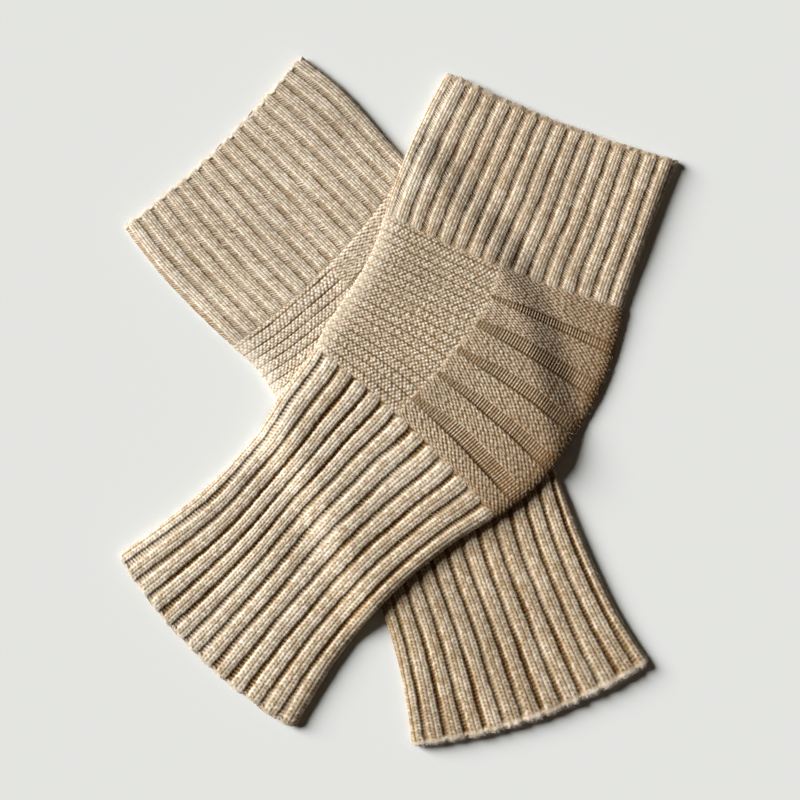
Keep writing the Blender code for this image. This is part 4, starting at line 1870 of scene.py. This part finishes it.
@dataclass(frozen=True)
class TubeRows:
    """The rows of a ribbed tube: where they lie, how far from the hem, and which way the hem is."""

    places: Array
    from_hem: Array
    from_knee: Array
    towards_hem: float

    @property
    def hem(self) -> int:
        """Which row the hem is, 0 or -1."""
        return 0 if self.towards_hem < 0.0 else -1


@dataclass
class RibbedTube(KnitPiece):
    """A closed ribbed tube from the edge of the knee to a hem."""

    def rows(self) -> TubeRows:
        """Places the rows, from the tube's upper end to its lower one.

        Returns:
            The rows.
        """
        knee = self.form.place_of("thigh_end"), self.form.place_of("knee_end")
        start, end = (0.0, knee[0]) if self.part is Part.THIGH else (knee[1], float(self.form.along[-1]))
        places = np.linspace(start, end, round((end - start) / self.stretch.row_step) + 1)
        if self.part is Part.THIGH:
            return TubeRows(places, places - start, end - places, -1.0)
        return TubeRows(places, end - places, places - start, 1.0)

    def build(self) -> list[bpy.types.Object]:
        """Builds the tube.

        Returns:
            The cloth and its loose fibres.
        """
        stitches = self.stretch.stitches
        rows = self.rows()
        places = rows.places
        upper, ribs = stitches.columns(PAST_FOLD)
        shares = np.concatenate([upper, plain_shares(upper[-1], upper[0] + 2.0)[1:-1]])
        columns = stitches.drifted(places, shares)
        field = stitches.field(places, upper, ribs, rows.from_knee, rows.from_hem)
        plain = np.zeros((len(places), len(shares) - len(upper)))
        relief = np.hstack([field.relief, plain])
        tone = np.hstack([field.tone, plain + UNDERSIDE_TONE]) * self.stretch.light.at(columns)
        scallop = np.hstack([stitches.scalloped(ribs, rows.from_hem), plain])
        scallop = rows.towards_hem * (scallop - self._cut_corners(rows, shares))
        shows = stitches.lower_shows * (1.0 - smooth(rows.from_hem / TUBE.hem_blend))
        shift = rows.towards_hem * shows
        outer = Face(self.face(places, columns, shift, relief, scallop), places, shares)
        wall = Wall(self.node, outer, self._inside(places, shift), tone, closed=True, hem=rows.hem)
        around = 4.0 * float(np.mean(self.form.course(places)[3]))
        return self.dress(wall, shares, Cut(around, float(places[-1] - places[0])))

    def _cut_corners(self, rows: TubeRows, shares: Array) -> Array:
        """Rounds the two corners of the hem.

        Args:
            rows: the tube's rows.
            shares: places round the tube.

        Returns:
            How far each point is drawn back from the hem.
        """
        hem = self.stretch.stitches.hem
        width = 2.0 * float(self.form.course(rows.places)[3][rows.hem])
        near_hem = 1.0 - smooth(rows.from_hem / hem.blend / 2.0)
        return near_hem[:, None] * hem.cut_corner(shares, width)[None, :]

    def _inside(self, places: Array, shift: Array) -> Face:
        """Makes the inner face.

        Args:
            places: the outer face's rows, as distances along.
            shift: how far the lower layer is shifted along in each of them.

        Returns:
            The face.
        """
        own_places = np.linspace(places[0], places[-1], INNER_ROWS)
        shares = plain_shares(0.0, 2.0)[:-1]
        columns = np.repeat(shares[None, :], INNER_ROWS, axis=0)
        points = self.face(own_places, columns, np.interp(own_places, places, shift))
        return Face(points, own_places, shares)


@dataclass
class KneeHalf(KnitPiece):
    """The half of the knee from the short-row line, round one fold and back underneath.

    Its own shares run from -1 at the line underneath, round its fold at 0, to 1 at the line above.
    """

    column_step: float
    line_at_thigh: float = 0.50
    line_at_calf: float = 0.42
    stitched_width: float = 75.0

    def own_shares(self) -> Array:
        """Spreads the points over the half.

        Returns:
            Their own shares.
        """
        stitched = np.linspace(-2.0 * PAST_FOLD, 1.0, round(self.stitched_width / self.column_step))
        if self.part is Part.KNEECAP:
            stitched = -stitched[::-1]
            return np.concatenate([stitched, plain_shares(stitched[-1], 1.0)[1:]])
        return np.concatenate([plain_shares(-1.0, stitched[0])[:-1], stitched])

    def columns(self, places: Array, shares: Array) -> Array:
        """Turns the half's own shares into shares round the tube.

        Args:
            places: distances along, one for each row.
            shares: the half's own shares, one for each column.

        Returns:
            The shares round the tube, for each row and column.
        """
        first, last = self.form.place_of("thigh_end"), self.form.place_of("knee_end")
        knitted = (places - first) / (last - first)
        line = self.line_at_thigh + (self.line_at_calf - self.line_at_thigh) * knitted
        if self.part is Part.GARTER:
            return shares * line[:, None]
        return 1.0 + shares * (1.0 - line)[:, None]

    def build(self) -> list[bpy.types.Object]:
        """Builds the half.

        Returns:
            The cloth and its loose fibres.
        """
        start, end = self.form.place_of("thigh_end"), self.form.place_of("knee_end")
        places = np.linspace(start, end, round((end - start) / self.stretch.row_step) + 1)
        shares = self.own_shares()
        columns = self.columns(places, shares)
        ridges = np.repeat(self.form.ridge_at(places)[:, None], len(shares), axis=1)
        field = self.stretch.stitches.field(ridges, columns)
        stitched = (columns > -2.0 * PAST_FOLD) & (columns < 1.0 + 2.0 * PAST_FOLD)
        relief = np.where(stitched, self._joined(field.relief, places, shares), 0.0)
        tone = np.where(stitched, field.tone, UNDERSIDE_TONE) * self.stretch.light.at(columns)
        outer = Face(self.face(places, columns, 0.0, relief), places, shares)
        wall = Wall(self.node, outer, self._inside(start, end), tone, closed=False)
        return self.dress(wall, columns[len(columns) // 2], self._cut(places, columns))

    def _joined(self, relief: Array, places: Array, shares: Array) -> Array:
        """Evens the stitches out where the half meets its neighbours.

        Args:
            relief: how far the stitches stand out.
            places: distances along, one for each row.
            shares: the half's own shares, one for each column.

        Returns:
            How far they stand out after that.
        """
        from_ends = np.minimum(places - places[0], places[-1] - places)[:, None]
        from_line = (1.0 - np.abs(shares))[None, :] * self.form.course(places)[3][:, None]
        line = LINE_HEIGHT + (relief - LINE_HEIGHT) * smooth(from_line / JOIN_BLEND)
        return JOIN_HEIGHT + (line - JOIN_HEIGHT) * smooth(from_ends / JOIN_BLEND)

    def _inside(self, start: float, end: float) -> Face:
        """Makes the inner face.

        Args:
            start: distance along the warmer of its first row.
            end: distance of its last row.

        Returns:
            The face.
        """
        places = np.linspace(start, end, INNER_ROWS)
        shares = plain_shares(-1.0, 1.0)
        return Face(self.face(places, self.columns(places, shares), 0.0), places, shares)

    def _cut(self, places: Array, columns: Array) -> Cut:
        """Measures the half's flat cut: its greatest width, its greatest length and its area.

        Args:
            places: distances along, one for each row.
            columns: shares round the tube, for each row and column.

        Returns:
            The cut.
        """
        middle, across, _, half, _ = self.form.course(places)
        widths = (columns[:, -1] - columns[:, 0]) * 2.0 * half
        side = -1.0 if self.part is Part.GARTER else 1.0
        fold = middle + side * across * half[:, None]
        fold_length = float(np.linalg.norm(np.diff(fold, axis=0), axis=1).sum())
        line_length = float(places[-1] - places[0])
        area = float(widths.mean()) * (fold_length + line_length) / 2.0
        return Cut(float(widths.max()), max(fold_length, line_length), area)


# ---- the two warmers -------------------------------------------------------------------------------------


@dataclass(frozen=True)
class WarmerKnit:
    """The four stretches of one warmer, and how far apart the columns of its knee halves are modelled."""

    thigh: Stretch
    garter: Stretch
    kneecap: Stretch
    calf: Stretch
    garter_column: float = 0.6
    kneecap_column: float = 0.6


GARTER_ROWS = (
    BumpRow(0.14, 0.0, 0.38, 0.135, 0.9),
    BumpRow(0.38, 0.5, 0.4, 0.145, 1.0),
    BumpRow(0.62, 0.0, 0.4, 0.145, 0.95),
    BumpRow(0.86, 0.5, 0.38, 0.135, 0.85),
)
WELT_ROWS = (
    BumpRow(0.25, 0.0, 0.42, 0.3, 1.0),
    BumpRow(0.75, 0.5, 0.4, 0.28, 0.8),
)
WELT_BUMPS = PurlBumps(
    WELT_ROWS,
    Unevenness(32),
    slant=-0.14,
    jitter=0.14,
    size_change=0.2,
    ground_tone=0.3,
    bump_tone=0.55,
)
THIGH_CREST = Crest(
    half=0.37,
    height=0.6,
    strand_relief=0.34,
    dots=0.42,
    side_shade=0.03,
    skew=-3.0,
    lean=0.3,
    strand_points=3,
    strand_gap=0.7,
    bead_tone=0.75,
    groove=0.1,
)
THIGH_GUTTER = Gutter(
    floor=-0.16,
    tone=0.55,
    change=0.2,
    dash_relief=0.17,
    dash_tone=0.16,
    dash_lean=-3.0,
    points=5,
    dash_shift=0.3,
    dash_change=0.6,
)
CALF_CREST = Crest(half=0.415, height=1.0, strand_relief=0.42, dots=0.46, side_shade=0.09)
CALF_GUTTER = Gutter(
    floor=-0.46,
    tone=0.38,
    change=0.5,
    dash_relief=0.12,
    dash_tone=0.08,
    dash_lean=1.2,
)
CALF_EDGE = RibEdge(line=0.22)
OVER_CALF_OPEN = Openness(
    places=(205.0, 225.0, 260.0, 320.0, 360.0, 398.0),
    shares=(0.0, 0.06, 0.14, 0.35, 0.45, 0.56, 0.75, 0.92, 1.0),
    amounts=(
        (0.6, 0.5, 0.2, 0.1, 0.1, 0.1, 0.1, 0.1, 0.3),
        (0.8, 0.7, 0.1, 0.1, 0.3, 0.7, 0.1, 0.1, 0.4),
        (1.0, 0.9, 0.0, 0.2, 0.5, 0.5, 0.1, 0.0, 0.2),
        (1.0, 0.8, 0.0, 0.3, 0.7, 0.6, 0.1, 0.0, 0.2),
        (1.0, 0.9, 0.2, 0.5, 0.8, 0.7, 0.3, 0.1, 0.2),
        (1.0, 1.0, 0.8, 0.9, 0.9, 0.9, 0.9, 1.0, 1.0),
    ),
)
UNDER_CALF_OPEN = Openness(
    places=(200.0, 400.0), shares=(0.0, 0.2, 1.0), amounts=((0.1, 0.3, 0.5), (0.2, 0.35, 0.5))
)
OVER_THIGH_DRIFT = Drift(
    places=(0.0, 25.0, 50.0, 75.0, 97.0),
    ribs=(
        (0.08, 0.07, -0.12, -0.32, -0.28),
        (0.08, 0.17, 0.0, -0.12, -0.16),
        (0.12, 0.18, 0.1, -0.02, -0.1),
        (0.06, 0.06, -0.04, -0.08, -0.08),
        (0.06, -0.02, -0.22, -0.14, -0.14),
    ),
)
OVER_CALF_DRIFT = Drift(
    places=(205.0, 238.0, 279.0, 320.0, 350.0, 398.0),
    shares=(0.0, 0.2, 0.45, 0.7, 1.0),
    ribs=(
        (-0.05, -0.1, -0.2, -0.15, -0.2),
        (0.1, 0.08, -0.12, 0.05, -0.06),
        (-0.06, -0.1, -0.35, -0.16, -0.1),
        (0.08, 0.15, -0.1, -0.06, -0.1),
        (0.0, 0.13, 0.02, -0.07, -0.14),
        (0.0, 0.1, -0.02, -0.08, -0.05),
    ),
)
UNDER_THIGH_DRIFT = Drift(
    places=(0.0, 30.0, 60.0, 97.0),
    ribs=(
        (-0.18, -0.08, -0.24, -0.45, -0.45),
        (-0.18, -0.1, -0.28, -0.42, -0.4),
        (-0.1, -0.14, -0.2, -0.26, -0.32),
        (-0.24, -0.12, -0.12, -0.04, -0.1),
    ),
)
UNDER_CALF_DRIFT = Drift(
    places=(200.0, 283.0, 304.0, 346.0, 400.0),
    ribs=(
        (0.1, 0.05, 0.1, 0.3, 0.2),
        (0.1, 0.03, 0.15, 0.38, 0.2),
        (0.08, 0.0, 0.0, 0.18, 0.1),
        (-0.07, -0.06, -0.03, 0.1, 0.04),
        (-0.06, -0.05, -0.12, 0.0, 0.05),
    ),
)
OVER_THIGH = RibStitches(
    across=15.45,
    first=-0.03,
    course=1.45,
    drift=OVER_THIGH_DRIFT,
    crest=THIGH_CREST,
    gutter=THIGH_GUTTER,
    edge=RibEdge(line=0.34, line_width=0.13),
    hem=HemLip(width=2.4, height=0.25, tone=0.55, reach=1.1, scallop=0.5, fray=0.4),
    unevenness=Unevenness(11),
    lower_shows=0.5,
    lightness=0.96,
    arch=2.0,
    slow_length=9.0,
    width_change=0.09,
    tone_change=0.08,
)
OVER_CALF = RibStitches(
    across=12.45,
    first=-0.18,
    course=2.13,
    drift=OVER_CALF_DRIFT,
    crest=CALF_CREST,
    gutter=CALF_GUTTER,
    edge=CALF_EDGE,
    hem=HemLip(width=1.6, height=0.8, tone=0.74, reach=0.4),
    unevenness=Unevenness(12),
    lower_shows=0.3,
    lightness=1.09,
    closer=0.95,
    openness=OVER_CALF_OPEN,
    arch=3.3,
)
UNDER_THIGH = RibStitches(
    across=15.95,
    first=0.19,
    course=1.45,
    drift=UNDER_THIGH_DRIFT,
    crest=replace(THIGH_CREST, half=0.34, wobble=0.25),
    gutter=replace(THIGH_GUTTER, tone=0.53, change=0.1, dash_tone=0.15),
    edge=RibEdge(line=0.42, line_width=0.12),
    hem=HemLip(width=1.8, height=0.5, tone=0.8, reach=1.0),
    unevenness=Unevenness(21),
    lower_shows=0.3,
    lightness=1.13,
    slow_length=9.0,
    width_change=0.05,
    tone_change=0.05,
)
UNDER_CALF = RibStitches(
    across=12.4,
    first=-0.27,
    course=2.19,
    drift=UNDER_CALF_DRIFT,
    crest=CALF_CREST,
    gutter=CALF_GUTTER,
    edge=CALF_EDGE,
    hem=HemLip(width=3.0, height=1.1, tone=0.78, reach=0.9, scallop=0.9, fray=0.5),
    unevenness=Unevenness(22),
    lower_shows=0.8,
    lightness=0.9,
    openness=UNDER_CALF_OPEN,
    arch=3.3,
)
OVER_KNIT = WarmerKnit(
    thigh=Stretch(OVER_THIGH, row_step=0.3625, light=FoldLight(reach=0.2)),
    garter=Stretch(
        GarterStitches(PurlBumps(GARTER_ROWS, Unevenness(32)), lightness=1.03),
        row_step=0.42,
        light=FoldLight(edge_loss=0.1, edge_reach=0.03),
    ),
    kneecap=Stretch(WeltStitches(WELT_BUMPS, lightness=0.98), row_step=0.37, light=FoldLight(loss=0.25)),
    calf=Stretch(
        OVER_CALF,
        row_step=0.5325,
        light=FoldLight(gain=0.15, loss=0.14, loss_reach=0.35),
        yarn=BROWN_SHADE_OATMEAL,
    ),
    kneecap_column=0.44,
)
UNDER_KNIT = WarmerKnit(
    thigh=Stretch(UNDER_THIGH, row_step=0.4833, light=FoldLight(gain=0.12)),
    garter=Stretch(
        GarterStitches(
            PurlBumps(GARTER_ROWS, Unevenness(31)),
            lightness=1.26,
            valley_tone=0.45,
            valley_width=0.08,
            unbroken=0.8,
            breaks=0.5,
            fade_from=0.9,
        ),
        row_step=0.6,
        light=FoldLight(gain=0.25, edge_loss=0.1),
    ),
    kneecap=Stretch(
        WeltStitches(
            replace(WELT_BUMPS, unevenness=Unevenness(31)),
            lightness=1.25,
            bands=(KnitBand(1.95, 3.4), *BANDS[1:]),
            full_share=0.85,
            shade=0.0,
            bands_stop=0.8,
        ),
        row_step=0.6,
    ),
    calf=Stretch(UNDER_CALF, row_step=0.73, light=FoldLight(gain=0.0), yarn=BROWN_SHADE_OATMEAL),
)
OVER_FULLNESS = FoldFullness(
    places=(0.0, 60.0, 97.0, 120.0, 185.0, 210.0, 260.0),
    changes=(0.25, 0.22, 0.0, -0.2, -0.2, -0.1, 0.0),
)


@dataclass
class KneeWarmer:
    """One knee warmer: thigh cuff, garter back of the knee, kneecap and ribbed calf."""

    name: str
    form: LaidForm
    knit: WarmerKnit
    nap: Nap
    fullness: FoldFullness = FoldFullness()

    def build(self) -> list[bpy.types.Object]:
        """Builds the four stretches.

        Returns:
            The cloth and the loose fibres of each.
        """
        own = self.form, self.nap, self.fullness
        knit = self.knit
        pieces = (
            RibbedTube(self.name, Part.THIGH, *own, knit.thigh),
            KneeHalf(self.name, Part.GARTER, *own, knit.garter, knit.garter_column),
            KneeHalf(self.name, Part.KNEECAP, *own, knit.kneecap, knit.kneecap_column),
            RibbedTube(self.name, Part.CALF, *own, knit.calf),
        )
        return [made for piece in pieces for made in piece.build()]


# ---- studio ----------------------------------------------------------------------------------------------


@dataclass(frozen=True)
class Studio:
    """A pale table, one large soft light from the upper left, a pale sky and a camera straight above."""

    middle: tuple[float, float] = (-0.9, 2.1)
    camera_height: float = 2000.0
    lens: float = 150.0
    sensor: float = 36.0
    table_size: float = 4000.0
    table_gap: float = 0.2
    table_finish: PaleTop = PaleTop()
    sky_strength: float = 0.036
    sky_colour: tuple[float, float, float] = (1.0, 0.74, 0.5)
    light_strength: float = 6.77
    light_colour: tuple[float, float, float] = (1.0, 0.985, 0.96)
    light_softness: float = 31.0
    light_from: tuple[float, float] = (-0.9, 0.4)
    light_elevation: float = 25.5

    def build(self) -> None:
        """Builds the table, the light, the sky and the camera."""
        self._table()
        self._light()
        self._sky()
        self._camera()
        view = bpy.context.scene.view_settings
        view.view_transform = "Standard"
        view.look = "None"

    def _table(self) -> None:
        """Builds the plain pale table top."""
        half = self.table_size / 2.0 * MM
        corners = [(-half, -half), (half, -half), (half, half), (-half, half)]
        mesh = bpy.data.meshes.new("table")
        mesh.from_pydata([(x, y, -self.table_gap * MM) for x, y in corners], [], [(0, 1, 2, 3)])
        mesh.materials.append(self.table_finish.material())
        add_to_scene("table", mesh)

    def _light(self) -> None:
        """Adds the large soft light."""
        sun = bpy.data.lights.new("window_light", "SUN")
        sun.energy = self.light_strength
        sun.angle = math.radians(self.light_softness)
        sun.color = self.light_colour
        lamp = add_to_scene("window_light", sun)
        bearing = math.atan2(self.light_from[1], self.light_from[0])
        tilt = math.radians(90.0 - self.light_elevation)
        lamp.rotation_euler = (0.0, tilt, bearing)

    def _sky(self) -> None:
        """Fills the shadows with an even pale light."""
        world = bpy.data.worlds.new("pale_sky")
        world.use_nodes = True
        background = world.node_tree.nodes["Background"]
        background.inputs["Color"].default_value = (*self.sky_colour, 1.0)
        background.inputs["Strength"].default_value = self.sky_strength
        bpy.context.scene.world = world

    def _camera(self) -> None:
        """Adds the camera, straight above the pair."""
        lens = bpy.data.cameras.new("camera")
        lens.lens = self.lens
        lens.sensor_width = self.sensor
        camera = add_to_scene("camera", lens)
        camera.location = (self.middle[0] * MM, self.middle[1] * MM, self.camera_height * MM)
        bpy.context.scene.camera = camera


def main() -> None:
    """Builds the pair and the studio in order and reports each piece."""
    logging.basicConfig(level=logging.INFO, format="%(name)s %(message)s")
    under_form = LaidForm(UNDER)
    over_form = LaidForm(OVER, lies_over=under_form)
    Studio().build()
    for warmer in (
        KneeWarmer("under", under_form, UNDER_KNIT, Nap(seed=41)),
        KneeWarmer("over", over_form, OVER_KNIT, Nap(seed=42), OVER_FULLNESS),
    ):
        for piece in warmer.build():
            triangles = sum(len(face.vertices) - 2 for face in piece.data.polygons)
            LOG.info("%s: %d triangles", piece.name, triangles)


if __name__ == "__main__":
    main()
